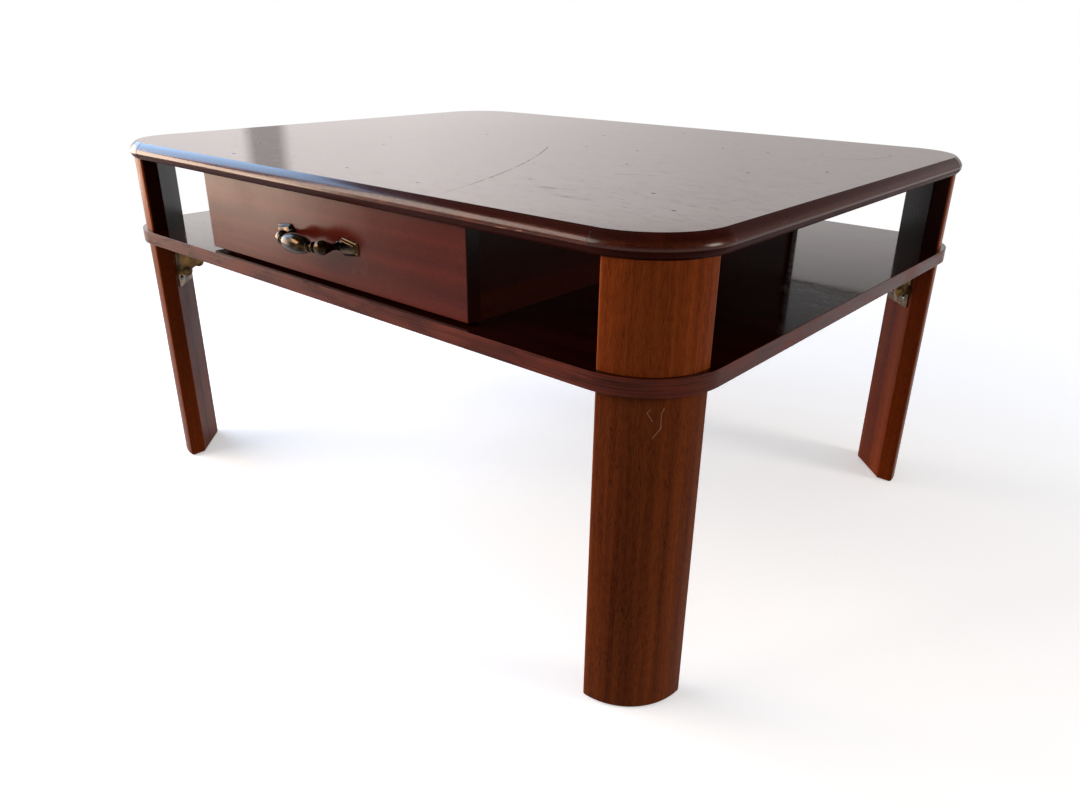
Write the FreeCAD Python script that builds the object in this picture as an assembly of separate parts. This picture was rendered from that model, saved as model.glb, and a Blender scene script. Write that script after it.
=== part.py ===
import FreeCAD, Part
import math
import os
from FreeCAD import Matrix, Rotation, Vector

# Low table with a lipped top, a full shelf below it and a case of two drawers between the two,
# on four legs that fold inwards under the shelf on pressed brackets.
# Millimetres. X runs along the table, Y across it and Z up. The origin is on the floor, under the
# middle of the table. One drawer opens towards -Y (front), the other towards +Y (rear).

# Overall form
table_length = 980.0
table_width = 776.0
leg_height = 353.0            # floor to the underside of the shelf
bay_height = 102.0            # clear height between shelf and top
edge_break = 1.0              # eased arrises of wooden pieces
cut_past = 1.0                # how far a cut runs past the face it opens

# Top: core board in a moulded lipping, joined by a tongue
top_thickness = 22.0
top_corner_radius = 90.0
lip_width = 28.0
lip_flat_inset = 10.0         # outermost edge to the line where the flat top ends
lip_band_run = 6.5            # sloping band below that line, measured across
lip_band_fall = 5.5           # and measured down
lip_nose_height = 9.5         # widest line of the rounded nose over the underside
lip_foot_inset = 5.0          # lower end of the nose from the outermost edge
tongue_thickness = 7.0
tongue_length = 7.0
tongue_clearance = 0.2

# Shelf board and the veneer band round its edge
shelf_thickness = 18.0
shelf_corner_radius = 86.0
band_thickness = 0.8

# Legs and corner posts share one section, measured from the corner where their two flats would meet
leg_inset = 8.0               # flats of the leg inside the edges of the shelf
leg_span = 74.0               # corner to the end faces of the two wings
leg_flat_length = 23.0        # flats, from the end faces to the nose
leg_nose_radius = 100.3
leg_end_thickness = 22.0      # end faces of the wings
leg_turn_radius = 30.0        # soft turn from flat to nose
leg_arris_radius = 2.0
foot_chamfer = 1.5

# Dowels of the posts and of the drawer case
dowel_radius = 4.0
dowel_clearance = 0.08
dowel_end_room = 1.0
dowel_in_board = 12.0
dowel_in_post = 20.0
post_dowel_spacing = 44.0
post_dowel_inset = 15.5       # nose of the post to the line of its dowels
case_dowel_count = 4
case_dowel_end = 60.0         # end of the case side to its first dowel

# Drawer case between shelf and top
case_width = 480.0
case_side_thickness = 15.0
case_divider_thickness = 12.0
runner_height = 4.0
runner_width = 20.0
kicker_height = 8.0
kicker_width = 20.0
kicker_clearance = 2.0

# Drawers
front_thickness = 18.0
front_inset = 13.0            # face of the drawer front inside the edge of the shelf
front_overhang = 4.0          # drawer front past the case side
front_gap_below = 3.0
front_gap_above = 2.0
drawer_side_gap = 1.5
drawer_side_thickness = 12.0
drawer_back_thickness = 12.0
drawer_rear_gap = 21.0        # rear end of the drawer sides to the divider
drawer_back_setback = 8.0     # drawer back inside the rear end of the sides
housing_depth = 6.0           # sides let into the front, back let into the sides
bottom_thickness = 4.0
bottom_groove_depth = 5.0
bottom_rise = 8.0             # underside of the bottom over the lower edge of the sides
bottom_clearance = 0.3

# Cast bow handle
handle_length = 153.0         # over the outer ends of its two feet
handle_shift = -2.2           # its middle from the middle of the drawer front
handle_drop = 1.5             # its axis below the middle of the drawer front
handle_spacing = 102.0        # between its two screws
foot_length = 34.5
foot_height = 21.6            # at its shoulders
foot_base_thickness = 2.4
foot_shoulder = 8.7           # inner end of the foot to its shoulders
foot_tip_height = 8.0         # blunt inner end
foot_end_height = 15.0        # outer end
foot_corner_radius = 1.2
foot_step = 2.6
foot_cap_thickness = 2.1
neck_spacing = 90.0           # between the two necks where they leave the feet
neck_radius = 4.0
bow_radius = 24.0             # bend of the bow from foot to grip
bow_turn = 80.0               # degrees that it turns
vase_from = 17.0              # degrees round the bend where the vase starts
vase_to = 61.0                # and where it ends
vase_radius = 8.4
vase_swell_place = 0.58       # widest place along the vase
vase_end_radius = 5.6
bead_from = 65.0              # degrees round the bend where the bead starts
bead_to = 73.0                # and where it ends
bead_radius = 6.2
bead_edge_radius = 4.6
grip_length = 52.0
grip_radius = 11.4
grip_end_radius = 5.0
handle_screw_radius = 2.0
handle_screw_depth = 2.6      # into the foot
handle_screw_head_radius = 4.2
handle_screw_head_height = 2.2
handle_screw_room = 0.8       # bore past the screw's end

# Folding bracket of each leg, pressed from sheet
sheet_thickness = 2.0
bracket_width = 58.0
pivot_out = 15.0              # pin axis in front of the inner face of the leg
pivot_drop = 48.0             # pin axis below the shelf
pin_radius = 3.0
pin_fit = 0.05
pin_head_radius = 5.2
pin_head_height = 1.6
pin_crown_radius = 4.0
flange_length = 75.0          # along the shelf, from the rounded end of the cheeks to their tip
cheek_radius = 8.0            # round lobe of the cheeks about the pin
cheek_waist_rise = 3.0        # pin axis to the place where the lobe meets the sloping lower edge
cheek_tip_depth = 7.0
flange_bend_radius = 3.0
ear_side_gap = 0.4
ear_radius = 7.0
plate_top_drop = 20.0
plate_bottom_drop = 74.0
plate_corner_radius = 3.0
plate_hole_radius = 1.8
plate_hole_rise = 9.0         # spare hole over the lower edge of the leg plate
plate_screw_rise = 12.0       # lower screws over the lower edge of the leg plate
plate_screw_spread = 34.0
upper_screw_drop = 8.0        # upper screws under the upper edge of the leg plate
upper_screw_spread = 24.0
flange_screw_spread = 32.0
flange_screw_margin = 14.0    # flange screws inside the two ends of the flange
screw_radius = 2.0
screw_clearance = 0.1
screw_length = 15.0
screw_room = 1.0              # pilot hole past the screw's end
screw_head_radius = 4.4
screw_head_height = 2.6
screw_crown_radius = 2.8      # flat top of the tapered head

# Heights that the sizes above give
shelf_bottom = leg_height
shelf_top = shelf_bottom + shelf_thickness
top_bottom = shelf_top + bay_height
top_surface = top_bottom + top_thickness
drawer_bottom_edge = shelf_top + runner_height
drawer_side_height = bay_height - runner_height - kicker_height - kicker_clearance
case_half_length = table_width / 2 - front_inset - front_thickness
case_inner_half = case_width / 2 - case_side_thickness
drawer_box_half = case_inner_half - drawer_side_gap
leg_nose_start = leg_span - leg_flat_length
leg_face_distance = (leg_span + leg_end_thickness) / math.sqrt(2)
plate_face = leg_face_distance + sheet_thickness
pivot_distance = leg_face_distance + pivot_out
pivot_height = shelf_bottom - pivot_drop
flange_start = pivot_distance - cheek_radius
flange_end = flange_start + flange_length
foot_top = foot_base_thickness + foot_cap_thickness
foot_middle = (handle_length - foot_length) / 2
grip_out = foot_top + bow_radius

# Corners of the table: sign of X, sign of Y, and the turn that brings the front left corner there
CORNERS = {
    "front_left": (-1, -1, 0.0),
    "front_right": (1, -1, 90.0),
    "rear_right": (1, 1, 180.0),
    "rear_left": (-1, 1, 270.0),
}
# Drawers: the turn that brings the front drawer to its place
DRAWERS = {"front": 0.0, "rear": 180.0}

UP = Vector(0, 0, 1)
ALONG = Vector(1, 0, 0)
ACROSS = Vector(0, 1, 0)
HERE = Vector(0, 0, 0)


def save(name, *shapes):
    """Write one node: a single solid, or a group of equal ones."""
    shape = shapes[0] if len(shapes) == 1 else Part.makeCompound(list(shapes))
    shape.exportStep("parts/" + name + ".step")


def block(x, y, z):
    """Box between two limits along each axis."""
    return Part.makeBox(x[1] - x[0], y[1] - y[0], z[1] - z[0], Vector(x[0], y[0], z[0]))


def turned(shape, degrees, place=HERE):
    """Copy of a shape turned about Z through the origin and then moved."""
    copy = shape.copy()
    copy.rotate(HERE, UP, degrees)
    copy.translate(place)
    return copy


def rod(radius, start, end):
    """Cylinder from one point to another."""
    return Part.makeCylinder(radius, (end - start).Length, start, end - start)


def face_of(edges):
    """Plane face inside a closed run of edges."""
    return Part.Face(Part.Wire(edges))


def prism(points, direction):
    """Straight-sided solid on a polygon."""
    return Part.Face(Part.makePolygon(points + points[:1])).extrude(direction)


def rounded_plate(half_x, half_y, radius, bottom, height):
    """Plate with four equal round corners, centred on the origin."""
    plate = block((-half_x, half_x), (-half_y, half_y), (bottom, bottom + height))
    uprights = [edge for edge in plate.Edges if abs(edge.BoundBox.ZLength - height) < 0.001]
    return plate.makeFillet(min(radius, half_x * 0.99, half_y * 0.99), uprights)


def eased(shape, radius, keep):
    """Round the edges whose middle passes the test."""
    edges = [edge for edge in shape.Edges if keep(edge.CenterOfMass)]
    return shape.makeFillet(radius, edges)


def arc_to_widest(start, widest):
    """Arc in the XZ plane that reaches the widest point of a nose with an upright tangent."""
    run = widest.x - start.x
    rise = start.z - widest.z
    radius = (run ** 2 + rise ** 2) / (2 * run)
    half_angle = math.atan2(rise, radius - run) / 2
    centre_x = widest.x - radius
    middle = Vector(centre_x + radius * math.cos(half_angle), 0, widest.z + radius * math.sin(half_angle))
    return Part.Arc(start, middle, widest).toShape()


# ---------------------------------------------------------------- top

def lip_profile(inner):
    """Section of the lipping in the XZ plane, with its joint face at x = inner."""
    outer = inner + lip_width
    flat_end = Vector(outer - lip_flat_inset, 0, top_surface)
    band_end = Vector(flat_end.x + lip_band_run, 0, top_surface - lip_band_fall)
    widest = Vector(outer, 0, top_bottom + lip_nose_height)
    foot = Vector(outer - lip_foot_inset, 0, top_bottom)
    joint_foot = Vector(inner, 0, top_bottom)
    joint_head = Vector(inner, 0, top_surface)
    face = face_of([
        Part.makeLine(joint_foot, joint_head),
        Part.makeLine(joint_head, flat_end),
        Part.makeLine(flat_end, band_end),
        arc_to_widest(band_end, widest),
        arc_to_widest(foot, widest),
        Part.makeLine(foot, joint_foot),
    ])
    groove_half = tongue_thickness / 2 + tongue_clearance
    middle = top_bottom + top_thickness / 2
    groove_end = inner + tongue_length + tongue_clearance
    groove = Part.Face(Part.makePolygon([
        Vector(inner - cut_past, 0, middle - groove_half),
        Vector(groove_end, 0, middle - groove_half),
        Vector(groove_end, 0, middle + groove_half),
        Vector(inner - cut_past, 0, middle + groove_half),
        Vector(inner - cut_past, 0, middle - groove_half),
    ]))
    return face.cut(groove)


def lip_length(half_across, half_along):
    """Straight lipping on the +X side, at the given half width, between two corner blocks."""
    profile = lip_profile(half_across - lip_width)
    profile.translate(Vector(0, -half_along, 0))
    return profile.extrude(Vector(0, 2 * half_along, 0))


def lip_corner():
    """Corner block of the lipping, turned about its own centre at the origin."""
    profile = lip_profile(top_corner_radius - lip_width)
    return profile.revolve(HERE, UP, 90)


def build_top():
    """Core board with its tongue, and the lipping in eight pieces."""
    half_x = table_length / 2 - lip_width
    half_y = table_width / 2 - lip_width
    inner_radius = top_corner_radius - lip_width
    board = rounded_plate(half_x, half_y, inner_radius, top_bottom, top_thickness)
    tongue_bottom = top_bottom + (top_thickness - tongue_thickness) / 2
    tongue = rounded_plate(half_x + tongue_length, half_y + tongue_length,
                           inner_radius + tongue_length, tongue_bottom, tongue_thickness)
    board = board.fuse(tongue)
    bores = dowel_bores(top_bottom)
    save("top_panel", board.cut(bores))

    side_reach = table_length / 2 - top_corner_radius
    end_reach = table_width / 2 - top_corner_radius
    side = lip_length(table_width / 2, side_reach)
    end = lip_length(table_length / 2, end_reach)
    save("top_lip_sides", turned(side, 90), turned(side, -90))
    save("top_lip_ends", end, turned(end, 180))
    corner = lip_corner()
    blocks = []
    for sign_x, sign_y, turn in CORNERS.values():
        block_here = turned(corner, turn + 180, Vector(sign_x * side_reach, sign_y * end_reach, 0))
        blocks.append(block_here.cut(bores))
    save("top_lip_corners", *blocks)


# ---------------------------------------------------------------- shelf

def build_shelf():
    """Shelf board with its dowel bores and screw holes, and the veneer band round its edge."""
    half_x = table_length / 2
    half_y = table_width / 2
    whole = rounded_plate(half_x, half_y, shelf_corner_radius, shelf_bottom, shelf_thickness)
    board = rounded_plate(half_x - band_thickness, half_y - band_thickness,
                          shelf_corner_radius - band_thickness, shelf_bottom, shelf_thickness)
    save("shelf_edge_band", whole.cut(board))
    pilots = []
    for place, axis in flange_screw_places():
        pilots.append(screw_bore(place, axis, 0, screw_length + screw_room))
    for corner in CORNERS.values():
        board = board.cut([to_corner(pilot, corner) for pilot in pilots])
    save("shelf_panel", board.cut(dowel_bores(shelf_top)))


# ---------------------------------------------------------------- legs and posts

def to_corner(shape, corner):
    """Carry a shape from the corner frame (origin where the flats meet, +X to the middle) to a corner."""
    sign_x, sign_y, turn = corner
    place = Vector(sign_x * (table_length / 2 - leg_inset), sign_y * (table_width / 2 - leg_inset), 0)
    return turned(shape, turn + 45, place)


def nose_centre():
    """Inset of the nose's centre from both flats, so that its arc meets them where they end."""
    root = math.sqrt(2 * leg_nose_radius ** 2 - leg_nose_start ** 2)
    return (leg_nose_start + root) / 2


def leg_section():
    """Two flats, a broad round nose between them, two end faces and one face across the corner."""
    centre = nose_centre()
    nose_point = centre - leg_nose_radius / math.sqrt(2)
    flat_a = Vector(leg_nose_start, 0, 0)
    flat_b = Vector(0, leg_nose_start, 0)
    points = [
        flat_a,
        Vector(leg_span, 0, 0),
        Vector(leg_span, leg_end_thickness, 0),
        Vector(leg_end_thickness, leg_span, 0),
        Vector(0, leg_span, 0),
        flat_b,
    ]
    edges = [Part.makeLine(a, b) for a, b in zip(points, points[1:])]
    edges.append(Part.Arc(flat_b, Vector(nose_point, nose_point, 0), flat_a).toShape())
    return face_of(edges), points


def leg_stick(bottom, height):
    """Length of the leg section in the corner frame, with its arrises softened."""
    face, points = leg_section()
    face.translate(Vector(0, 0, bottom))
    stick = face.extrude(Vector(0, 0, height))
    turns = (points[0], points[-1])
    soft = [edge for edge in stick.Edges if is_upright_at(edge, turns)]
    stick = stick.makeFillet(leg_turn_radius, soft)
    sharp = [edge for edge in stick.Edges if is_upright_at(edge, points[1:-1])]
    stick = stick.makeFillet(leg_arris_radius, sharp)
    return turned(stick, -45)


def is_upright_at(edge, points):
    """True for an upright edge that stands on one of the points."""
    box = edge.BoundBox
    if box.XLength > 0.01 or box.YLength > 0.01:
        return False
    return any(math.hypot(box.XMin - p.x, box.YMin - p.y) < 0.01 for p in points)


def post_dowel_places():
    """Dowels of one post, in the corner frame, side by side under the lipping of the top."""
    nose = nose_centre() * math.sqrt(2) - leg_nose_radius
    return [Vector(nose + post_dowel_inset, side * post_dowel_spacing / 2, 0) for side in (-1, 1)]


def case_dowel_places():
    """Dowels of the two case sides, seen from above."""
    x = case_width / 2 - case_side_thickness / 2
    first = case_half_length - case_dowel_end
    step = 2 * first / (case_dowel_count - 1)
    places = []
    for sign in (-1, 1):
        for index in range(case_dowel_count):
            places.append(Vector(sign * x, -first + index * step, 0))
    return places


def dowels_at(height, radius, end_gap):
    """Every dowel that crosses one joint plane between a board and the pieces that stand on or under it."""
    board_side = -1 if height == shelf_top else 1
    post_end = Vector(0, 0, -board_side * (dowel_in_post + end_gap))
    board_end = Vector(0, 0, board_side * (dowel_in_board + end_gap))
    level = Vector(0, 0, height)
    posts = []
    for corner in CORNERS.values():
        for place in post_dowel_places():
            posts.append(to_corner(rod(radius, place + level + board_end, place + level + post_end), corner))
    case = []
    for place in case_dowel_places():
        case.append(rod(radius, place + level + board_end, place + level + post_end))
    return posts, case


def dowel_bores(height):
    """Bores round all dowels of one joint plane."""
    posts, case = dowels_at(height, dowel_radius + dowel_clearance, dowel_end_room)
    return posts + case


def build_posts():
    """Four corner posts between shelf and top, with the dowels that hold them."""
    bores = dowel_bores(shelf_top) + dowel_bores(top_bottom)
    for name, corner in CORNERS.items():
        post = to_corner(leg_stick(shelf_top, bay_height), corner)
        save("post_" + name, post.cut(bores))
    lower_posts, lower_case = dowels_at(shelf_top, dowel_radius, 0.0)
    upper_posts, upper_case = dowels_at(top_bottom, dowel_radius, 0.0)
    save("post_dowels", *lower_posts, *upper_posts)
    save("case_dowels", *lower_case, *upper_case)


# ---------------------------------------------------------------- folding brackets

def round_screw(place, axis):
    """Raised-head wood screw whose head sits on a plate at a place and whose shank runs along an axis."""
    shank = rod(screw_radius, place, place + axis * screw_length)
    head = Part.makeCone(screw_head_radius, screw_crown_radius, screw_head_height, place, axis * -1)
    return shank.fuse(head)


def screw_bore(place, axis, back, ahead):
    """Clearance bore for a screw, from behind its seat to ahead of it along its axis."""
    return rod(screw_radius + screw_clearance, place - axis * back, place + axis * ahead)


def flange_screw_places():
    """Four screws under the flange, in the corner frame, driven up into the shelf."""
    under_flange = shelf_bottom - sheet_thickness
    places = []
    for x in (flange_start + flange_screw_margin, flange_end - flange_screw_margin):
        for side in (-1, 1):
            places.append((Vector(x, side * flange_screw_spread / 2, under_flange), UP))
    return places


def plate_screw_places():
    """Four screws of the leg plate, in the corner frame, driven into the leg."""
    low = shelf_bottom - plate_bottom_drop + plate_screw_rise
    high = shelf_bottom - plate_top_drop - upper_screw_drop
    outwards = ALONG * -1
    places = []
    for height, spread in ((low, plate_screw_spread), (high, upper_screw_spread)):
        for side in (-1, 1):
            places.append((Vector(plate_face, side * spread / 2, height), outwards))
    return places


def cheek_outline():
    """Side view of the base bracket: round about the pin, then a sloping lower edge up to the tip."""
    left = Vector(flange_start, 0, pivot_height)
    low = Vector(pivot_distance, 0, pivot_height - cheek_radius)
    right = Vector(pivot_distance + cheek_radius, 0, pivot_height)
    waist = right + UP * cheek_waist_rise
    tip = Vector(flange_end, 0, shelf_bottom - cheek_tip_depth)
    head_left = Vector(flange_start, 0, shelf_bottom)
    head_right = Vector(flange_end, 0, shelf_bottom)
    return face_of([
        Part.makeLine(head_left, head_right),
        Part.makeLine(head_right, tip),
        Part.makeLine(tip, waist),
        Part.makeLine(waist, right),
        Part.Arc(right, low, left).toShape(),
        Part.makeLine(left, head_left),
    ])


def base_bracket():
    """Flange under the shelf with a bent-down cheek on either side, in the corner frame."""
    half = bracket_width / 2
    outline = cheek_outline()
    outline.translate(Vector(0, -half, 0))
    channel = outline.extrude(Vector(0, bracket_width, 0))
    channel = eased(channel, flange_bend_radius,
                    lambda c: abs(c.z - shelf_bottom) < 0.01 and abs(abs(c.y) - half) < 0.01)
    inside = half - sheet_thickness
    under_flange = shelf_bottom - sheet_thickness
    hollow = block((flange_start - cut_past, flange_end + cut_past), (-inside, inside),
                   (pivot_height - 2 * cheek_radius, under_flange))
    hollow = eased(hollow, flange_bend_radius - sheet_thickness,
                   lambda c: abs(c.z - under_flange) < 0.01 and abs(abs(c.y) - inside) < 0.01)
    channel = channel.cut(hollow)
    pivot = Vector(pivot_distance, 0, pivot_height)
    reach = ACROSS * bracket_width
    channel = channel.cut(rod(pin_radius + pin_fit, pivot - reach, pivot + reach))
    for place, axis in flange_screw_places():
        channel = channel.cut(screw_bore(place, axis, cut_past, sheet_thickness + cut_past))
    return channel


def hinge_pin():
    """Rivet pin across the two cheeks, with a low head outside each."""
    half = bracket_width / 2
    centre = Vector(pivot_distance, 0, pivot_height)
    pin = rod(pin_radius, centre - ACROSS * half, centre + ACROSS * half)
    for side in (-1, 1):
        seat = centre + ACROSS * (side * half)
        head = Part.makeCone(pin_head_radius, pin_crown_radius, pin_head_height, seat, ACROSS * side)
        pin = pin.fuse(head)
    return pin


def leg_bracket():
    """Plate on the inner face of the leg with two ears about the pin, in the corner frame."""
    half = bracket_width / 2
    top = shelf_bottom - plate_top_drop
    bottom = shelf_bottom - plate_bottom_drop
    plate = block((leg_face_distance, plate_face), (-half, half), (bottom, top))
    plate = eased(plate, plate_corner_radius,
                  lambda c: abs(abs(c.y) - half) < 0.01 and min(abs(c.z - top), abs(c.z - bottom)) < 0.01)
    ear_outer = half - sheet_thickness - ear_side_gap
    pivot = Vector(pivot_distance, 0, pivot_height)
    ears = []
    for side in (-1, 1):
        near = ACROSS * (side * (ear_outer - sheet_thickness))
        far = ACROSS * (side * ear_outer)
        root = block((leg_face_distance, pivot_distance),
                     sorted((near.y, far.y)), (pivot_height - ear_radius, pivot_height + ear_radius))
        ears.append(root.fuse(rod(ear_radius, pivot + near, pivot + far)))
    bracket = plate.fuse(ears).removeSplitter()
    reach = ACROSS * bracket_width
    bracket = bracket.cut(rod(pin_radius + pin_fit, pivot - reach, pivot + reach))
    hole = Vector(leg_face_distance - cut_past, 0, bottom + plate_hole_rise)
    bracket = bracket.cut(rod(plate_hole_radius, hole, hole + ALONG * (sheet_thickness + 2 * cut_past)))
    for place, axis in plate_screw_places():
        bracket = bracket.cut(screw_bore(place, axis, cut_past, sheet_thickness + cut_past))
    return bracket


def build_legs():
    """Four folding legs with their brackets, pins and screws."""
    leg = leg_stick(0.0, leg_height)
    under = [edge for edge in leg.Edges if edge.BoundBox.ZMax < 0.001]
    leg = leg.makeChamfer(foot_chamfer, under)
    for place, axis in plate_screw_places():
        leg = leg.cut(screw_bore(place, axis, 0, screw_length + screw_room))
    base = base_bracket()
    pin = hinge_pin()
    bracket = leg_bracket()
    plate_screws = [round_screw(place, axis) for place, axis in plate_screw_places()]
    flange_screws = [round_screw(place, axis) for place, axis in flange_screw_places()]
    all_flange_screws = []
    for name, corner in CORNERS.items():
        save("leg_" + name, to_corner(leg, corner))
        save("hinge_base_" + name, to_corner(base, corner))
        save("hinge_pin_" + name, to_corner(pin, corner))
        save("leg_bracket_" + name, to_corner(bracket, corner))
        save("leg_bracket_screws_" + name, *[to_corner(screw, corner) for screw in plate_screws])
        all_flange_screws += [to_corner(screw, corner) for screw in flange_screws]
    save("hinge_base_screws", *all_flange_screws)


# ---------------------------------------------------------------- drawer case

def build_case():
    """Two case sides, the divider between the drawers, and the strips that guide the drawers."""
    bores = dowel_bores(shelf_top) + dowel_bores(top_bottom)
    for name, sign in (("left", -1), ("right", 1)):
        x = sorted((sign * case_inner_half, sign * case_width / 2))
        side = block(x, (-case_half_length, case_half_length), (shelf_top, top_bottom))
        save("case_side_" + name, side.cut(bores))
    half_divider = case_divider_thickness / 2
    save("case_divider", block((-case_inner_half, case_inner_half), (-half_divider, half_divider),
                               (shelf_top, top_bottom)))
    runners = []
    kickers = []
    for sign_x in (-1, 1):
        for sign_y in (-1, 1):
            y = sorted((sign_y * half_divider, sign_y * case_half_length))
            runner_x = sorted((sign_x * case_inner_half, sign_x * (case_inner_half - runner_width)))
            kicker_x = sorted((sign_x * case_inner_half, sign_x * (case_inner_half - kicker_width)))
            runners.append(block(runner_x, y, (shelf_top, drawer_bottom_edge)))
            kickers.append(block(kicker_x, y, (top_bottom - kicker_height, top_bottom)))
    save("drawer_runners", *runners)
    save("drawer_kickers", *kickers)


# ---------------------------------------------------------------- drawers

def drawer_pieces():
    """Wooden pieces of the front drawer, keyed by name."""
    face = -case_half_length - front_thickness
    joint = -case_half_length
    rear = -case_divider_thickness / 2 - drawer_rear_gap
    low = drawer_bottom_edge
    high = low + drawer_side_height
    outer = drawer_box_half
    inner = outer - drawer_side_thickness
    back_face = rear - drawer_back_setback - drawer_back_thickness
    bottom_low = low + bottom_rise
    bottom_high = bottom_low + bottom_thickness
    groove_depth = bottom_groove_depth + bottom_clearance

    front_half = case_width / 2 + front_overhang
    front = block((-front_half, front_half), (face, joint),
                  (shelf_top + front_gap_below, top_bottom - front_gap_above))
    front = eased(front, edge_break, lambda c: abs(c.y - face) < 0.01)
    front = front.cut(block((-inner - cut_past, inner + cut_past), (joint - groove_depth, joint + cut_past),
                            (bottom_low, bottom_high)))
    pieces = {}
    for name, sign in (("left", -1), ("right", 1)):
        side = block(sorted((sign * inner, sign * outer)), (joint - housing_depth, rear), (low, high))
        front = front.cut(side)
        side = eased(side, edge_break, lambda c: abs(c.z - high) < 0.01 and abs(abs(c.x) - inner) < 0.01)
        groove_x = sorted((sign * (inner - cut_past), sign * (inner + groove_depth)))
        groove_y = (joint - housing_depth - cut_past, rear + cut_past)
        side = side.cut(block(groove_x, groove_y, (bottom_low, bottom_high)))
        housing_x = sorted((sign * (inner - cut_past), sign * (inner + housing_depth)))
        housing_z = (bottom_high, high + cut_past)
        side = side.cut(block(housing_x, (back_face, back_face + drawer_back_thickness), housing_z))
        pieces["side_" + name] = side
    back_half = inner + housing_depth
    pieces["back"] = block((-back_half, back_half), (back_face, back_face + drawer_back_thickness),
                           (bottom_high, high - edge_break))
    bottom_half = inner + bottom_groove_depth
    pieces["bottom"] = block((-bottom_half, bottom_half), (joint - bottom_groove_depth, rear),
                             (bottom_low, bottom_high))
    for place in handle_screw_places():
        through = ACROSS * (front_thickness + cut_past)
        front = front.cut(rod(handle_screw_radius + screw_clearance, place, place - through))
    pieces["face"] = front
    return pieces


def handle_height():
    """Height of the handle's axis, a little below the middle of the drawer front."""
    low = shelf_top + front_gap_below
    high = top_bottom - front_gap_above
    return (low + high) / 2 - handle_drop


def handle_screw_places():
    """Seats of the two handle screws on the inner face of the front drawer's front."""
    return [Vector(handle_shift + side * handle_spacing / 2, -case_half_length, handle_height())
            for side in (-1, 1)]


def turned_profile(stations):
    """Solid turned about X from three points (place along X, radius): an arc between two end discs."""
    (start, start_radius), (middle, middle_radius), (end, end_radius) = stations
    outline = face_of([
        Part.makeLine(Vector(start, 0, 0), Vector(start, 0, start_radius)),
        Part.Arc(Vector(start, 0, start_radius), Vector(middle, 0, middle_radius),
                 Vector(end, 0, end_radius)).toShape(),
        Part.makeLine(Vector(end, 0, end_radius), Vector(end, 0, 0)),
        Part.makeLine(Vector(end, 0, 0), Vector(start, 0, 0)),
    ])
    return outline.revolve(HERE, ALONG, 360)


def turned_between(start, end, stations):
    """Turned solid laid from one point to another; stations give (share of the length, radius)."""
    length = (end - start).Length
    shape = turned_profile([(share * length, radius) for share, radius in stations])
    turn = Rotation(ALONG, end - start)
    shape.rotate(HERE, turn.Axis, math.degrees(turn.Angle))
    shape.translate(start)
    return shape


def foot_plate(step, bottom, height):
    """Six-cornered plate of the foot, drawn in by a step, with its blunt inner end towards -X."""
    inner = step - foot_length / 2
    shoulder = foot_shoulder - foot_length / 2
    outer = foot_length / 2 - step
    tip_half = (foot_tip_height - step) / 2
    shoulder_half = foot_height / 2 - step
    end_half = foot_end_height / 2 - step
    upper = [(inner, tip_half), (shoulder, shoulder_half), (outer, end_half)]
    lower = [(x, -y) for x, y in reversed(upper)]
    plate = prism([Vector(x, y, bottom) for x, y in upper + lower], UP * height)
    uprights = [edge for edge in plate.Edges if abs(edge.BoundBox.ZLength - height) < 0.001]
    return plate.makeFillet(foot_corner_radius, uprights)


def bow_point(degrees):
    """Middle of the bow on its +X side, so many degrees round its bend from the foot; out is -Y."""
    angle = math.radians(degrees)
    across = neck_spacing / 2 - bow_radius + bow_radius * math.cos(angle)
    return Vector(across, -foot_top - bow_radius * math.sin(angle), 0)


def handle_half():
    """Foot, neck, vase and bead of the handle on its +X side; the drawer front is the XZ plane, out is -Y."""
    foot = foot_plate(0.0, 0.0, foot_base_thickness)
    foot = foot.fuse(foot_plate(foot_step, foot_base_thickness, foot_cap_thickness))
    foot.rotate(HERE, ALONG, 90)
    foot.translate(ALONG * foot_middle)

    neck_start = bow_point(0.0)
    circle = Part.Face(Part.Wire(Part.makeCircle(neck_radius, neck_start, ACROSS)))
    neck = circle.revolve(neck_start - ALONG * bow_radius, UP, -bow_turn)
    vase = turned_between(bow_point(vase_from), bow_point(vase_to), [
        (0.0, neck_radius), (vase_swell_place, vase_radius), (1.0, vase_end_radius)])
    bead = turned_between(bow_point(bead_from), bow_point(bead_to), [
        (0.0, bead_edge_radius), (0.5, bead_radius), (1.0, bead_edge_radius)])
    return foot.fuse([neck, vase, bead])


def handle():
    """One casting: two feet and necks, two vases, two beads and the egg-shaped grip."""
    right = handle_half()
    left = right.mirror(HERE, ALONG)
    half = grip_length / 2
    grip = turned_profile([(-half, grip_end_radius), (0, grip_radius), (half, grip_end_radius)])
    grip.translate(ACROSS * -grip_out)
    casting = right.fuse([left, grip]).removeSplitter()
    casting.translate(Vector(handle_shift, -case_half_length - front_thickness, handle_height()))
    for place in handle_screw_places():
        depth = front_thickness + handle_screw_depth + handle_screw_room
        casting = casting.cut(rod(handle_screw_radius + screw_clearance, place, place - ACROSS * depth))
    return casting


def handle_screws():
    """Two machine screws from inside the drawer, through its front, into the handle's feet."""
    screws = []
    for place in handle_screw_places():
        shank = rod(handle_screw_radius, place, place - ACROSS * (front_thickness + handle_screw_depth))
        head = rod(handle_screw_head_radius, place, place + ACROSS * handle_screw_head_height)
        screws.append(shank.fuse(head).removeSplitter())
    return screws


def build_drawers():
    """The same drawer at the front and, turned half round, at the rear."""
    pieces = drawer_pieces()
    casting = handle()
    screws = handle_screws()
    for name, turn in DRAWERS.items():
        for piece, shape in pieces.items():
            save(name + "_drawer_" + piece, turned(shape, turn))
        save(name + "_handle", turned(casting, turn))
        save(name + "_handle_screws", *[turned(screw, turn) for screw in screws])


os.makedirs("parts", exist_ok=True)
build_top()
build_shelf()
build_posts()
build_legs()
build_case()
build_drawers()
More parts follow.
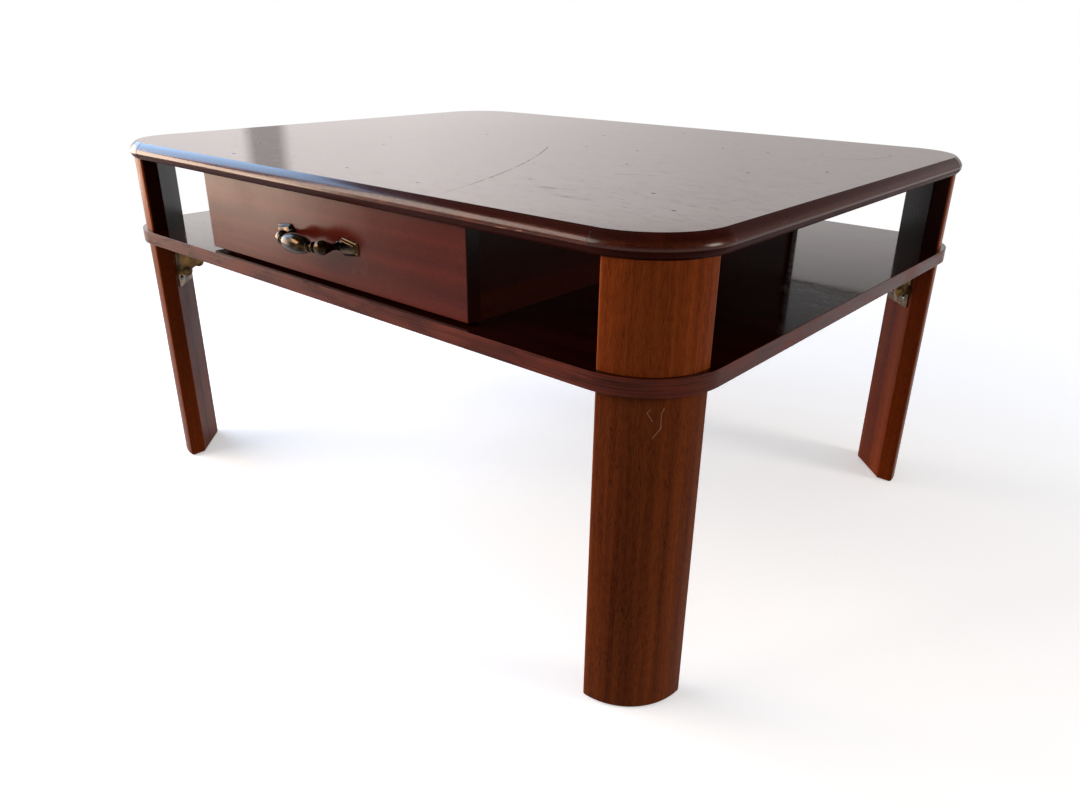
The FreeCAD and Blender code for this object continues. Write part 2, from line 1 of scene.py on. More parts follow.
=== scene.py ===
"""Low table with a lipped gloss top, a full shelf, two drawers and four folding legs.

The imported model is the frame. Its drawer boxes, case and boards keep their own meshes and get
finishes; the moulded lipping, the edge band, the legs, the posts, the handles and the small
metalwork are drawn again as smooth surfaces that stand for their nodes. Metres throughout.
"""

import logging
import math
from dataclasses import dataclass, field, replace
from enum import Enum
from functools import reduce
from typing import Any, Sequence

import bmesh
import bpy
import numpy as np
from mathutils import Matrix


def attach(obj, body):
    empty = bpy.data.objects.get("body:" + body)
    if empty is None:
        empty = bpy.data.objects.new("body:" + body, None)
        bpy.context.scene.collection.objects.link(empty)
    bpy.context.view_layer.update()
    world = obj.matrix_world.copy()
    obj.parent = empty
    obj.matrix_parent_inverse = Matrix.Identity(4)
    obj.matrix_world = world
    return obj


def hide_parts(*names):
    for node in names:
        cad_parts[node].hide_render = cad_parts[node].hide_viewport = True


log = logging.getLogger("table")
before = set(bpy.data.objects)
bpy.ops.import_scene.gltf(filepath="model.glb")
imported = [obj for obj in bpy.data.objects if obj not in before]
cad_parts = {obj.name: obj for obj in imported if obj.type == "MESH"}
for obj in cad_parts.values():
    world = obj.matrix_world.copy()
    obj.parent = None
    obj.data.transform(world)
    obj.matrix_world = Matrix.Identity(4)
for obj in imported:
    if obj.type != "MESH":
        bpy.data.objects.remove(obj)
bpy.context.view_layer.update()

Array = np.ndarray
Material = bpy.types.Material
Socket = bpy.types.NodeSocket
Span = tuple[float, float]
Point = tuple[float, float, float]

WELD = 1e-6                             # points closer than this are one
LEVEL = 1e-7                            # heights closer than this are one
SMOOTH_ANGLE = 32.0                     # degrees between faces that still shade as one surface
UP = (0.0, 0.0, 1.0)
WHITE = (1.0, 1.0, 1.0, 1.0)
EVEN = (1.0, 1.0, 1.0)                  # scale of a pattern that is the same in every direction
NOISE = (0.3, 0.7)                      # ends of what a noise gives, and of the middle part of that
NOISE_CORE = (0.35, 0.65)
NOISE_FALLOFF = 0.55                    # strength of each finer octave as a share of the one before
LACQUER_IOR, WASH_IOR = 1.5, 1.46       # refractive index of a lacquered or pressed face, and of a washed one
MIX_FACTOR, MIX_A, MIX_B, MIX_RESULT = 0, 6, 7, 2     # sockets of a colour mix

HALF_LENGTH, HALF_WIDTH = 0.490, 0.388  # of the top and the shelf
SHELF_BOTTOM, SHELF_TOP = 0.353, 0.371
TOP_BOTTOM, TOP_SURFACE = 0.473, 0.495

LIP_CHIPS = (((0.294, -0.3878, 0.4806), (0.310, -0.3878, 0.4820)),
             ((0.321, -0.3878, 0.4819), (0.328, -0.3878, 0.4822)))
LEG_SCRATCHES = (((0.4663, -0.3538, 0.3415), (0.4648, -0.3555, 0.3368)),
                 ((0.4648, -0.3555, 0.3368), (0.4650, -0.3552, 0.3222)),
                 ((0.4650, -0.3552, 0.3222), (0.4600, -0.3604, 0.3125)),
                 ((0.4557, -0.3644, 0.3376), (0.4592, -0.3612, 0.3298)),
                 ((0.4557, -0.3644, 0.3376), (0.4575, -0.3628, 0.3405)))


# --- shapes worked out as arrays


def turned(points: Array, degrees: float) -> Array:
    """Turns points about the upright axis, counter-clockwise seen from above.

    Args:
        points: Points, with X, Y and Z in their last axis.
        degrees: The turn a.

    Returns:
        The turned points: x' = x cos a - y sin a, y' = x sin a + y cos a.
    """
    a = math.radians(degrees)
    return points @ np.array([[math.cos(a), math.sin(a), 0.0], [-math.sin(a), math.cos(a), 0.0], UP])


@dataclass
class Skin:
    """Surface as points, four-sided faces, many-sided end faces and a finish number per face."""

    points: Array
    quads: Array
    ends: list[Array]
    finishes: Array | None = None

    def on(self, points: Array) -> "Skin":
        """The same faces on other points."""
        return replace(self, points=points)

    def laid(self, start: Sequence[float], towards: Sequence[float]) -> "Skin":
        """Lays a skin that was made along X so that its axis leaves a point in a direction.

        Args:
            start: Point that the origin goes to.
            towards: Direction that X goes to.

        Returns:
            The laid skin.
        """
        x = np.asarray(towards) / np.linalg.norm(towards)
        side = np.cross(UP, x)
        breadth = np.linalg.norm(side)
        side = side / breadth if breadth > LEVEL else np.array([0.0, 1.0, 0.0])
        return self.on(self.points @ np.stack([x, side, np.cross(x, side)]) + start)


class Grain(Enum):
    """Axis of the object along which the fibres of a piece run."""

    ALONG = 0
    ACROSS = 1
    UPRIGHT = 2

    def drawn_out(self, times: float) -> Point:
        """Scale of a pattern that is this many times as long as wide along the fibres."""
        return tuple(1.0 / times if axis == self.value else 1.0 for axis in range(3))


class Labelled(Enum):
    """Places on the table that names of nodes and bodies speak of."""

    @property
    def label(self) -> str:
        """The word for the place in those names."""
        return self.name.lower()


class DrawerEnd(Labelled):
    """End of the case that a drawer opens at: the turn in degrees from the front one."""

    FRONT = 0.0
    REAR = 180.0


class Corner(Labelled):
    """Corner of the table: sign of X, sign of Y, and the turn in degrees from the front left one."""

    FRONT_LEFT = (-1, -1, 0.0)
    FRONT_RIGHT = (1, -1, 90.0)
    REAR_RIGHT = (1, 1, 180.0)
    REAR_LEFT = (-1, 1, 270.0)

    def placed(self, points: Array, degrees: float, margin: float) -> Array:
        """Carries points to the corner.

        Args:
            points: Points round an upright axis.
            degrees: Turn about it that they have at the front left corner.
            margin: Distance of the axis from both edges of the table.

        Returns:
            The placed points.
        """
        sign_x, sign_y, turn = self.value
        place = sign_x * (HALF_LENGTH - margin), sign_y * (HALF_WIDTH - margin), 0.0
        return turned(points, turn + degrees) + place


def softened(points: Array, radii: Array, steps: int) -> Array:
    """Rounds the corners of a closed plane outline.

    Each corner P becomes the arc tangent to its two sides, from P - a d to P + b d, where a and b
    are the directions of the sides and d is the radius times the tangent of half the turn. The arc
    is the rational curve through P weighted by the cosine of half the turn.

    Args:
        points: Corners of the outline in order, one row each.
        radii: Radius of each corner; 0 keeps the corner as one point.
        steps: Faces along each arc.

    Returns:
        The points of the rounded outline.
    """
    before = points - np.roll(points, 1, axis=0)
    after = np.roll(points, -1, axis=0) - points
    a = before / np.linalg.norm(before, axis=1, keepdims=True)
    b = after / np.linalg.norm(after, axis=1, keepdims=True)
    half_turn = np.arccos(np.clip((a * b).sum(1), -1.0, 1.0)) / 2
    reach = (radii * np.tan(half_turn))[:, None, None]
    weight = np.cos(half_turn)[:, None, None]
    t = np.linspace(0.0, 1.0, steps + 1)[None, :, None]
    middle = points[:, None]
    start, end = middle - a[:, None] * reach, middle + b[:, None] * reach
    shares = (1 - t) ** 2, 2 * weight * t * (1 - t), t ** 2
    arcs = (start * shares[0] + middle * shares[1] + end * shares[2]) / sum(shares)
    return arcs[(radii[:, None] > 0) | (np.arange(steps + 1)[None, :] == 0)]


def inset(outline: Array, depth: Array | float) -> Array:
    """Moves each point of a closed outline inwards, square to the line between its neighbours.

    Args:
        outline: Points of the outline, counter-clockwise, one row each.
        depth: How far each point moves.

    Returns:
        The moved points.
    """
    along = np.roll(outline, -1, axis=0) - np.roll(outline, 1, axis=0)
    along /= np.linalg.norm(along, axis=1, keepdims=True)
    inwards = np.stack([-along[:, 1], along[:, 0]], axis=1)
    return outline + inwards * np.broadcast_to(np.asarray(depth)[..., None], (len(outline), 1))


def flowing(stations: Sequence[Sequence[float]], steps: int) -> Array:
    """Smooth curve through stations: between two of them a cubic whose slopes are half the step
    from the one before to the one after.

    Args:
        stations: Points that the curve passes, one row each.
        steps: Points worked out for each pair of stations.

    Returns:
        Points along the curve, with the last station at the end.
    """
    p = np.asarray(stations, float)
    p = np.vstack([2 * p[0] - p[1], p, 2 * p[-1] - p[-2]])
    t = np.linspace(0.0, 1.0, steps, endpoint=False)[None, :, None]
    p0, p1, p2, p3 = (p[k:len(p) - 3 + k, None] for k in range(4))
    curve = 0.5 * (2 * p1 + (p2 - p0) * t + (2 * p0 - 5 * p1 + 4 * p2 - p3) * t ** 2
                   + (3 * p1 - p0 - 3 * p2 + p3) * t ** 3)
    return np.vstack([curve.reshape(-1, p.shape[1]), p[-2]])


def loft(rings: Array, joined: bool = False, finishes: Array | None = None) -> Skin:
    """Skins a run of closed rings: four-sided faces between neighbours, and a face on either end.

    Args:
        rings: Points by ring, place round the ring, and axis.
        joined: True where the last ring meets the first, so that there are no ends.
        finishes: Finish number of each face round a ring, the same for every pair of rings.

    Returns:
        The skin.
    """
    count, around = rings.shape[:2]
    spans = count if joined else count - 1
    ring, place = np.arange(spans)[:, None], np.arange(around)[None, :]
    after, beside = (ring + 1) % count, (place + 1) % around
    quads = np.stack([ring * around + place, ring * around + beside,
                      after * around + beside, after * around + place], axis=-1).reshape(-1, 4)
    ends = [] if joined else [np.arange(around)[::-1], (count - 1) * around + np.arange(around)]
    return Skin(rings.reshape(-1, 3), quads, ends, None if finishes is None else np.tile(finishes, spans))


def lathe(profile: Array, around: int) -> Skin:
    """Turns a profile about the X axis: a point (x, r) goes to (x, r cos a, r sin a).

    Args:
        profile: Place along the axis and radius of each point; the ends are closed by flat faces.
        around: Points round the axis.

    Returns:
        The turned skin.
    """
    angle = np.linspace(0.0, 2 * math.pi, around, endpoint=False)
    x, r = np.broadcast_to(profile[:, :1], (len(profile), around)), profile[:, 1:]
    return loft(np.stack([x, r * np.cos(angle), r * np.sin(angle)], axis=-1))


def linked(name: str, data: bpy.types.ID, axes: Sequence[Sequence[float]] = np.eye(3),
           place: Point = (0.0, 0.0, 0.0)) -> bpy.types.Object:
    """Adds an object to the scene.

    Args:
        name: Name of the object.
        data: Its mesh, lamp or camera.
        axes: Directions of its X, Y and Z.
        place: Its origin.

    Returns:
        The object.
    """
    thing = bpy.data.objects.new(name, data)
    bpy.context.scene.collection.objects.link(thing)
    thing.matrix_world = [(*axis, 0.0) for axis in axes] + [(*place, 1.0)]
    return thing


def finished_piece(name: str, skins: Sequence[Skin], materials: Sequence[Material], body: str, slot: str,
                   *nodes: str, smooth: float = SMOOTH_ANGLE) -> None:
    """Makes one piece from its skins, welds it, points its faces outwards, and puts it in the frame.

    Args:
        name: Name of the piece.
        skins: Closed skins that make it up.
        materials: Materials by finish number.
        body: Body that it rides on.
        slot: Not used.
        nodes: Nodes that it stands for.
        smooth: Angle in degrees between faces that still shade as one surface.
    """
    starts = np.cumsum([0] + [len(skin.points) for skin in skins])
    faces: list[list[int]] = []
    numbers: list[int] = []
    for start, skin in zip(starts, skins):
        faces += (skin.quads + start).tolist() + [(end + start).tolist() for end in skin.ends]
        given = np.zeros(len(skin.quads), int) if skin.finishes is None else skin.finishes
        numbers += given.tolist() + [0] * len(skin.ends)
    mesh = bpy.data.meshes.new(name)
    mesh.from_pydata(np.vstack([skin.points for skin in skins]).tolist(), [], faces)
    for material in materials:
        mesh.materials.append(material)
    mesh.polygons.foreach_set("material_index", np.array(numbers, np.int32))
    work = bmesh.new()
    work.from_mesh(mesh)
    bmesh.ops.remove_doubles(work, verts=work.verts, dist=WELD)
    bmesh.ops.recalc_face_normals(work, faces=work.faces)
    work.to_mesh(mesh)
    work.free()
    mesh.shade_smooth()
    mesh.set_sharp_from_angle(angle=math.radians(smooth))
    piece = linked(name, mesh)
    piece.modifiers.new("true flats", "WEIGHTED_NORMAL").keep_sharp = True
    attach(piece, body)
    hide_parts(*nodes)
    log.info("%s: %d faces on %s", name, len(mesh.polygons), body)


# --- finishes


def linear(code: str) -> tuple[float, float, float, float]:
    """Linear colour of an sRGB hex value such as 8a5a3c."""
    parts = np.array([int(code[k:k + 2], 16) / 255 for k in (0, 2, 4)])
    return (*np.where(parts <= 0.04045, parts / 12.92, ((parts + 0.055) / 1.055) ** 2.4).tolist(), 1.0)


@dataclass
class Paint:
    """Shader tree in the making, and the coordinates that its patterns are laid out in."""

    tree: bpy.types.NodeTree
    coordinates: str = "Object"
    place: Socket = field(init=False)

    def __post_init__(self) -> None:
        """Empties the tree and adds the coordinates."""
        self.tree.nodes.clear()
        self.place = self.add("TexCoord").outputs[self.coordinates]

    def add(self, kind: str, inputs: dict[int | str, Any] | None = None, **settings: Any) -> bpy.types.Node:
        """Adds a node with its settings and links.

        Args:
            kind: Type of the node, without the leading ShaderNode.
            inputs: Value of each input socket by name or number, or the output that feeds it.
            settings: Attributes of the node.

        Returns:
            The node.
        """
        node = self.tree.nodes.new("ShaderNode" + kind)
        for name, value in settings.items():
            setattr(node, name, value)
        for key, value in (inputs or {}).items():
            if isinstance(value, Socket):
                self.tree.links.new(value, node.inputs[key])
            else:
                node.inputs[key].default_value = value
        return node

    def math(self, operation: str, a: Socket | float, b: Socket | float = 0.0) -> Socket:
        """One arithmetic step on values, such as ADD."""
        return self.add("Math", {0: a, 1: b}, operation=operation).outputs[0]

    def product(self, *factors: Socket | float) -> Socket:
        """Values multiplied together."""
        return reduce(lambda a, b: self.math("MULTIPLY", a, b), factors)

    def strongest(self, *marks: Socket) -> Socket:
        """The strongest of several marks at each point."""
        return reduce(lambda a, b: self.math("MAXIMUM", a, b), marks)

    def vector(self, operation: str, a: Socket | Point, b: Socket | Point = (0.0, 0.0, 0.0),
               output: str = "Value") -> Socket:
        """One step on vectors, with its result at Value or Vector; SCALE takes b as the scale."""
        second = "Scale" if operation == "SCALE" else 1
        return self.add("VectorMath", {0: a, second: b}, operation=operation).outputs[output]

    def axis(self, name: str) -> Socket:
        """X, Y or Z of the coordinates."""
        return self.add("SeparateXYZ", {0: self.place}).outputs[name]

    def ranged(self, value: Socket, low: float, high: float, to_low: float = 0.0,
               to_high: float = 1.0) -> Socket:
        """Stretches low to high of a value over to_low to to_high, and cuts it off there."""
        return self.add("MapRange", {"Value": value, "From Min": low, "From Max": high,
                                     "To Min": to_low, "To Max": to_high}).outputs["Result"]

    def faded(self, distance: Socket, reach: float, core: float = 0.4) -> Socket:
        """1 up to a core share of the reach, running out to 0 at the reach."""
        return self.ranged(distance, reach * core, reach, 1.0, 0.0)

    def mixed(self, factor: Socket | float, a: Socket | tuple, b: Socket | tuple) -> Socket:
        """Two colours mixed by the share of the second."""
        return self.add("Mix", {MIX_FACTOR: factor, MIX_A: a, MIX_B: b}, data_type="RGBA").outputs[MIX_RESULT]

    def figured(self, stretch: Point, width: float, detail: float, distortion: float = 0.0) -> Socket:
        """Noise whose features are a given width across the fibres.

        Args:
            stretch: Scale of the pattern along each axis.
            width: Width of a feature in metres.
            detail: Octaves of finer noise on it.
            distortion: How much the pattern is stirred.

        Returns:
            The output of the noise, about 0.3 to 0.7.
        """
        drawn = self.add("Mapping", {"Vector": self.place, "Scale": stretch}).outputs["Vector"]
        return self.add("TexNoise", {"Vector": drawn, "Scale": 1.0 / width, "Detail": detail,
                                     "Roughness": NOISE_FALLOFF, "Distortion": distortion}).outputs["Fac"]

    def stroke(self, start: Sequence[float], end: Sequence[float], half_width: float) -> Socket:
        """A thin straight mark, such as a scratch.

        The nearest point of the line is start + t (end - start) with t = (p - start).(end - start) /
        |end - start|^2, kept between 0 and 1.

        Args:
            start: One end of the mark.
            end: Its other end.
            half_width: Distance over which it fades.

        Returns:
            The output of its strength, 1 on the line.
        """
        along = np.subtract(end, start)
        away = self.vector("SUBTRACT", self.place, tuple(start), "Vector")
        share = self.ranged(self.vector("DOT_PRODUCT", away, tuple(along / np.dot(along, along))), 0.0, 1.0)
        foot = self.vector("SCALE", tuple(along), share, "Vector")
        return self.faded(self.vector("DISTANCE", away, foot), half_width)

    def close(self, kind: str, shader: bpy.types.Node) -> None:
        """Joins a shader to the output of the tree."""
        self.add("Output" + kind, {"Surface": shader.outputs[0]})

    def surface(self, colour: Socket, roughness: Socket, height: Socket, bump: Span,
                more: dict[str, float]) -> None:
        """Ends the tree of a solid material.

        Args:
            colour: Its base colour.
            roughness: Its roughness.
            height: What stands up on it, from 0 to 1.
            bump: Share of that relief that shows, and its depth in metres.
            more: Other inputs of the shader.
        """
        relief = self.add("Bump", {"Height": height, "Strength": bump[0], "Distance": bump[1]})
        self.close("Material", self.add("BsdfPrincipled", {
            "Base Color": colour, "Roughness": roughness, "Normal": relief.outputs["Normal"], **more}))


@dataclass(frozen=True)
class Finish:
    """What a piece is made of and how its surface was treated."""

    name: str

    def draw(self, paint: Paint) -> None:
        """Draws the finish into an empty tree."""
        raise NotImplementedError

    def make(self) -> Material:
        """Makes the material of the finish."""
        material = bpy.data.materials.new(self.name)
        material.use_nodes = True
        self.draw(Paint(material.node_tree))
        return material


@dataclass(frozen=True)
class TopWear:
    """What years of use leave on a polished top.

    It gives the eye one long shallow arc and a few hairlines that cut the mirror, a dull smear where
    something hot stood, and stray dark pits.
    """

    arc_centre: Point = (-1.001, -0.704, TOP_SURFACE)
    arc_radius: float = 1.2446
    arc_ends: Span = (-0.372, 0.005)    # its lowest and highest Y
    arc_fade: float = 0.1               # length over which it grows from faint to full
    arc_faint: float = 0.2
    tip: float = 0.002                  # length over which it stops
    hairlines: tuple[tuple[Span, Span], ...] = (
        ((0.343, 0.179), (0.393, 0.181)), ((0.393, 0.181), (0.418, 0.241)),
        ((0.242, -0.136), (0.282, -0.112)))
    smears: tuple[tuple[Span, Span], ...] = (
        ((0.210, -0.270), (0.262, -0.257)), ((0.262, -0.257), (0.301, -0.261)),
        ((0.285, -0.286), (0.318, -0.284)))
    smear_width: float = 0.010
    line_width: float = 0.0011          # real lines are a hair wide; drawn as coarse as they need to show
    hair_share: float = 0.8             # width of a hairline as a share of the arc's
    break_width: float = 0.02           # size of the patches where the lines are fainter
    break_rise: Span = (0.35, 0.55)
    break_faint: float = 0.35
    wisp_width: float = 0.006
    wisp_stretch: float = 4.0           # how many times as long as wide
    wisp_rise: Span = (0.35, 0.7)
    wisp_faint: float = 0.1
    pit_spacing: float = 0.07
    pit_size: float = 0.0034
    pit_choice: Span = (0.6, 0.9)       # few cells of the net have a pit, and few of those a deep one
    cut_roughness: float = 0.4
    smear_roughness: float = 0.24
    cut_darkness: float = 0.7
    dirt: tuple[float, ...] = (0.004, 0.003, 0.003, 1.0)

    def lines(self, paint: Paint) -> Socket:
        """The arc and the hairlines: 1 on a line and 0 beside it, broken by noise."""
        y, (low, high) = paint.axis("Y"), self.arc_ends
        out = paint.vector("DISTANCE", paint.place, self.arc_centre)
        off = paint.math("ABSOLUTE", paint.math("SUBTRACT", out, self.arc_radius))
        arc = paint.product(paint.faded(off, self.line_width),
                            paint.ranged(y, low, low + self.arc_fade, self.arc_faint),
                            paint.ranged(y, low - self.tip, low),
                            paint.ranged(y, high - self.tip, high, 1.0, 0.0))
        hairs = self.strokes(paint, self.hairlines, self.line_width * self.hair_share)
        broken = paint.ranged(paint.figured(EVEN, self.break_width, detail=2.0), *self.break_rise,
                              self.break_faint)
        return paint.product(paint.strongest(arc, hairs), broken)

    def strokes(self, paint: Paint, marks: Sequence[tuple[Span, Span]], half_width: float) -> Socket:
        """Straight marks on the surface, given by the X and Y of their ends."""
        return paint.strongest(*(paint.stroke((*start, TOP_SURFACE), (*end, TOP_SURFACE), half_width)
                                 for start, end in marks))

    def dull(self, paint: Paint) -> Socket:
        """The smear: 1 at its middle, running out softly."""
        noise = paint.figured(Grain.ALONG.drawn_out(self.wisp_stretch), self.wisp_width, detail=3.0)
        wisps = paint.ranged(noise, *self.wisp_rise, self.wisp_faint)
        return paint.product(self.strokes(paint, self.smears, self.smear_width), wisps)

    def pits(self, paint: Paint) -> Socket:
        """Stray pits: one near the middle of some cells of a random net, none in the others."""
        net = paint.add("TexVoronoi", {"Vector": paint.place, "Scale": 1.0 / self.pit_spacing},
                        voronoi_dimensions="2D").outputs
        chosen = paint.add("SeparateColor", {0: net["Color"]}).outputs[0]
        return paint.product(paint.faded(net["Distance"], self.pit_size / self.pit_spacing, core=0.5),
                             paint.ranged(chosen, *self.pit_choice))


@dataclass(frozen=True)
class Mahogany(Finish):
    """Mahogany, sliced or sawn, stained red-brown and lacquered.

    It gives the eye a deep red-brown ground with soft broad ribbons along the fibres, a silk of fine
    lighter fibres, and short dark pore lines that the lacquer has sunk into. The lacquer is a clear
    dielectric of IOR 1.5: a mirror at a low angle where it is polished, a sheen where it is satin.
    """

    grain: Grain
    deep: str
    warm: str
    roughness: float
    roughness_spread: float = 0.02
    ribbon_width: float = 0.022
    ribbon_share: float = 0.62      # share of the ribbons in the change of tone; the fibres have the rest
    fibre_width: float = 0.0011     # real fibres are finer; drawn as coarse as they need to show
    pore_width: float = 0.0007      # real pores are 0.2 mm; drawn as coarse as they need to show
    pore_length: float = 0.006
    pore_depth: float = 0.55        # how dark a pore line is
    pore_saturation: float = 1.05
    pore_gap: float = 0.012         # size of the patches with and without pores
    # how many times as long as wide each pattern is
    ribbon_stretch: float = 40.0
    fibre_stretch: float = 9.0
    gap_stretch: float = 3.0
    # part of each noise over which its pattern comes up
    ribbon_rise: Span = (0.32, 0.68)
    pore_rise: Span = (0.6, 0.72)
    gap_rise: Span = (0.42, 0.6)
    bump: float = 0.12
    bump_depth: float = 0.0002
    gloss: float = 0.08             # specular level; rubbed satin lacquer over open pores mirrors little
    cloud: float = 0.09             # size of faint clouds in the polish
    cloud_bump: float = 0.0
    pore_roughness: float = 0.14    # a filled pore mirrors a little less than the polish round it
    end_grain: float = 0.0          # distance from the middle where the end grain starts, darker for its stain and painted darker for shade, or 0 for none
    end_rise: Span = (-0.0005, -0.0001)   # from there, where its stain and painted shade come up
    ends: str = "240703"            # end grain soaks up more stain; this colour also paints the shade on the drawer front's ends
    worn: str = ""                  # colour where hands have rubbed the edge through, or none
    worn_heights: tuple[float, ...] = (0.4745, 0.4795, 0.4865, 0.4895)
    worn_patch: float = 0.03        # size of its patches, which two noises added together make
    worn_rise: Span = (0.8, 1.25)
    worn_faint: float = 0.1
    wear: TopWear | None = None     # marks of use on a table top
    scratches: tuple[tuple[Point, Point], ...] = ()   # pale scratches, end to end
    scratched: str = "b98a72"
    scratch_width: float = 0.0006
    scratch_rise: Span = (0.3, 0.6)
    scratch_strength: Span = (0.25, 0.9)

    def draw(self, paint: Paint) -> None:
        """Draws the wood, then what use and stain did to its colour, with painted shade on the end grain,
        then the lacquer over it.
        """
        ribbons = paint.figured(self.grain.drawn_out(self.ribbon_stretch), self.ribbon_width, detail=3.0,
                                distortion=0.25)
        fibres = paint.figured(self.grain.drawn_out(self.fibre_stretch), self.fibre_width, detail=2.0)
        pores = paint.figured(self.grain.drawn_out(self.pore_length / self.pore_width), self.pore_width,
                              detail=1.0)
        gaps = paint.figured(self.grain.drawn_out(self.gap_stretch), self.pore_gap, detail=1.0)
        share = paint.math("ADD", paint.ranged(ribbons, *self.ribbon_rise, 0.0, self.ribbon_share),
                           paint.ranged(fibres, *NOISE, 0.0, 1.0 - self.ribbon_share))
        ground = paint.mixed(share, linear(self.deep), linear(self.warm))
        lines = paint.product(paint.ranged(pores, *self.pore_rise), paint.ranged(gaps, *self.gap_rise))
        dark = paint.add("HueSaturation", {"Saturation": self.pore_saturation, "Value": 1.0 - self.pore_depth,
                                           "Color": ground}).outputs[0]
        colour = paint.mixed(lines, ground, dark)
        if self.worn:
            colour = paint.mixed(self.rubbed(paint, fibres), colour, linear(self.worn))
        # the end grain is darker for its stain, and painted darker still for the shade on the drawer front's
        # ends
        if self.end_grain:
            away = paint.math("ABSOLUTE", paint.axis("X"))
            cut = paint.ranged(away, *(self.end_grain + rise for rise in self.end_rise))
            colour = paint.mixed(cut, colour, linear(self.ends))
        if self.scratches:
            marks = paint.strongest(*(paint.stroke(*ends, self.scratch_width) for ends in self.scratches))
            broken = paint.ranged(fibres, *self.scratch_rise, *self.scratch_strength)
            colour = paint.mixed(paint.product(marks, broken), colour, linear(self.scratched))
        clouds = paint.figured(EVEN, self.cloud, detail=4.0)
        sheen = paint.ranged(clouds, *NOISE_CORE, self.roughness - self.roughness_spread,
                             self.roughness + self.roughness_spread)
        if self.wear:
            cuts = paint.strongest(self.wear.lines(paint), self.wear.pits(paint))
            sheen = paint.strongest(sheen, paint.product(cuts, self.wear.cut_roughness),
                                    paint.product(self.wear.dull(paint), self.wear.smear_roughness),
                                    paint.product(lines, self.pore_roughness))
            colour = paint.mixed(paint.product(cuts, self.wear.cut_darkness), colour, self.wear.dirt)
        height = paint.math("SUBTRACT", paint.product(clouds, self.cloud_bump), lines)
        paint.surface(colour, sheen, height, (self.bump, self.bump_depth),
                      {"IOR": LACQUER_IOR, "Specular IOR Level": self.gloss})

    def rubbed(self, paint: Paint, fibres: Socket) -> Socket:
        """Where the stain is rubbed thin: along the widest line of the edge, in broken patches.

        Args:
            paint: Tree of the material.
            fibres: Output of the fine fibres, which break up the patches.

        Returns:
            The output of the share, 0 where the stain is whole.
        """
        height, (low, full, still_full, high) = paint.axis("Z"), self.worn_heights
        patches = paint.math("ADD", paint.figured(EVEN, self.worn_patch, detail=4.0), fibres)
        return paint.product(paint.ranged(height, low, full),
                             paint.ranged(height, still_full, high, 1.0, 0.0),
                             paint.ranged(patches, *self.worn_rise, self.worn_faint))


@dataclass(frozen=True)
class StainedEdgeVeneer(Finish):
    """Thin veneer band glued round the shelf's edge and stained, with the lacquer rubbed thin.

    It gives the eye fine level lines along the edge, dark red-brown with greyer streaks.
    """

    deep: str = "38110a"
    pale: str = "76382a"
    line_width: float = 0.0012      # drawn as coarse as it needs to show
    patch_width: float = 0.02
    line_scale: Point = (0.02, 0.02, 1.0)     # along each axis, so that the lines lie level
    patch_scale: Point = (0.3, 0.3, 1.0)
    line_rise: Span = (0.35, 0.7)
    patch_rise: Span = (0.4, 0.7)
    line_share: float = 0.6         # share of the lines in the change of tone; the patches have the rest
    roughness: Span = (0.22, 0.4)
    gloss: float = 0.08
    bump: Span = (0.25, 0.0003)

    def draw(self, paint: Paint) -> None:
        """Draws the level lines and the patches where the lacquer is thin."""
        level = paint.figured(self.line_scale, self.line_width, detail=3.0)
        patches = paint.figured(self.patch_scale, self.patch_width, detail=2.0)
        share = paint.math("ADD", paint.ranged(level, *self.line_rise, 0.0, self.line_share),
                           paint.ranged(patches, *self.patch_rise, 0.0, 1.0 - self.line_share))
        paint.surface(paint.mixed(share, linear(self.deep), linear(self.pale)),
                      paint.ranged(patches, *NOISE_CORE, *self.roughness), level, self.bump,
                      {"IOR": LACQUER_IOR, "Specular IOR Level": self.gloss})


@dataclass(frozen=True)
class PlainTimber(Finish):
    """Planed timber with at most a thin wash of finish, for drawer boxes, dowels and guides.

    It gives the eye a dull pale ground with fine darker year lines and small flecks along the fibres.
    """

    grain: Grain
    ground: str
    line: str
    roughness: float = 0.6
    roughness_spread: float = 0.06
    line_width: float = 0.003
    line_stretch: float = 25.0      # how many times as long as wide
    line_rise: Span = (0.4, 0.7)
    line_strength: float = 0.7
    fleck_width: float = 0.0009
    fleck_stretch: float = 10.0
    fleck_rise: Span = (0.55, 0.7)
    fleck_strength: float = 0.5
    bump: Span = (0.2, 0.0003)

    def draw(self, paint: Paint) -> None:
        """Draws the year lines and the flecks."""
        years = paint.figured(self.grain.drawn_out(self.line_stretch), self.line_width, detail=3.0,
                              distortion=0.8)
        flecks = paint.figured(self.grain.drawn_out(self.fleck_stretch), self.fleck_width, detail=1.0)
        share = paint.math("ADD", paint.ranged(years, *self.line_rise, 0.0, self.line_strength),
                           paint.ranged(flecks, *self.fleck_rise, 0.0, self.fleck_strength))
        sheen = paint.ranged(flecks, *NOISE, self.roughness - self.roughness_spread,
                             self.roughness + self.roughness_spread)
        paint.surface(paint.mixed(share, linear(self.ground), linear(self.line)), sheen, years, self.bump,
                      {"IOR": WASH_IOR})


@dataclass(frozen=True)
class PressedHardboard(Finish):
    """Hardboard, wet-pressed from brown wood fibre, smooth side up.

    It gives the eye an even leather brown with a fine felted mottle and a slight waxy sheen.
    """

    ground: str = "6b4a2e"
    fibre: str = "8a6a48"
    fibre_width: float = 0.0015
    fibre_rise: Span = (0.35, 0.7)
    roughness: Span = (0.42, 0.55)
    bump: Span = (0.2, 0.0002)

    def draw(self, paint: Paint) -> None:
        """Draws the felted mottle."""
        felt = paint.figured(EVEN, self.fibre_width, detail=4.0, distortion=1.5)
        colour = paint.mixed(paint.ranged(felt, *self.fibre_rise), linear(self.ground), linear(self.fibre))
        paint.surface(colour, paint.ranged(felt, *NOISE, *self.roughness), felt, self.bump,
                      {"IOR": LACQUER_IOR})


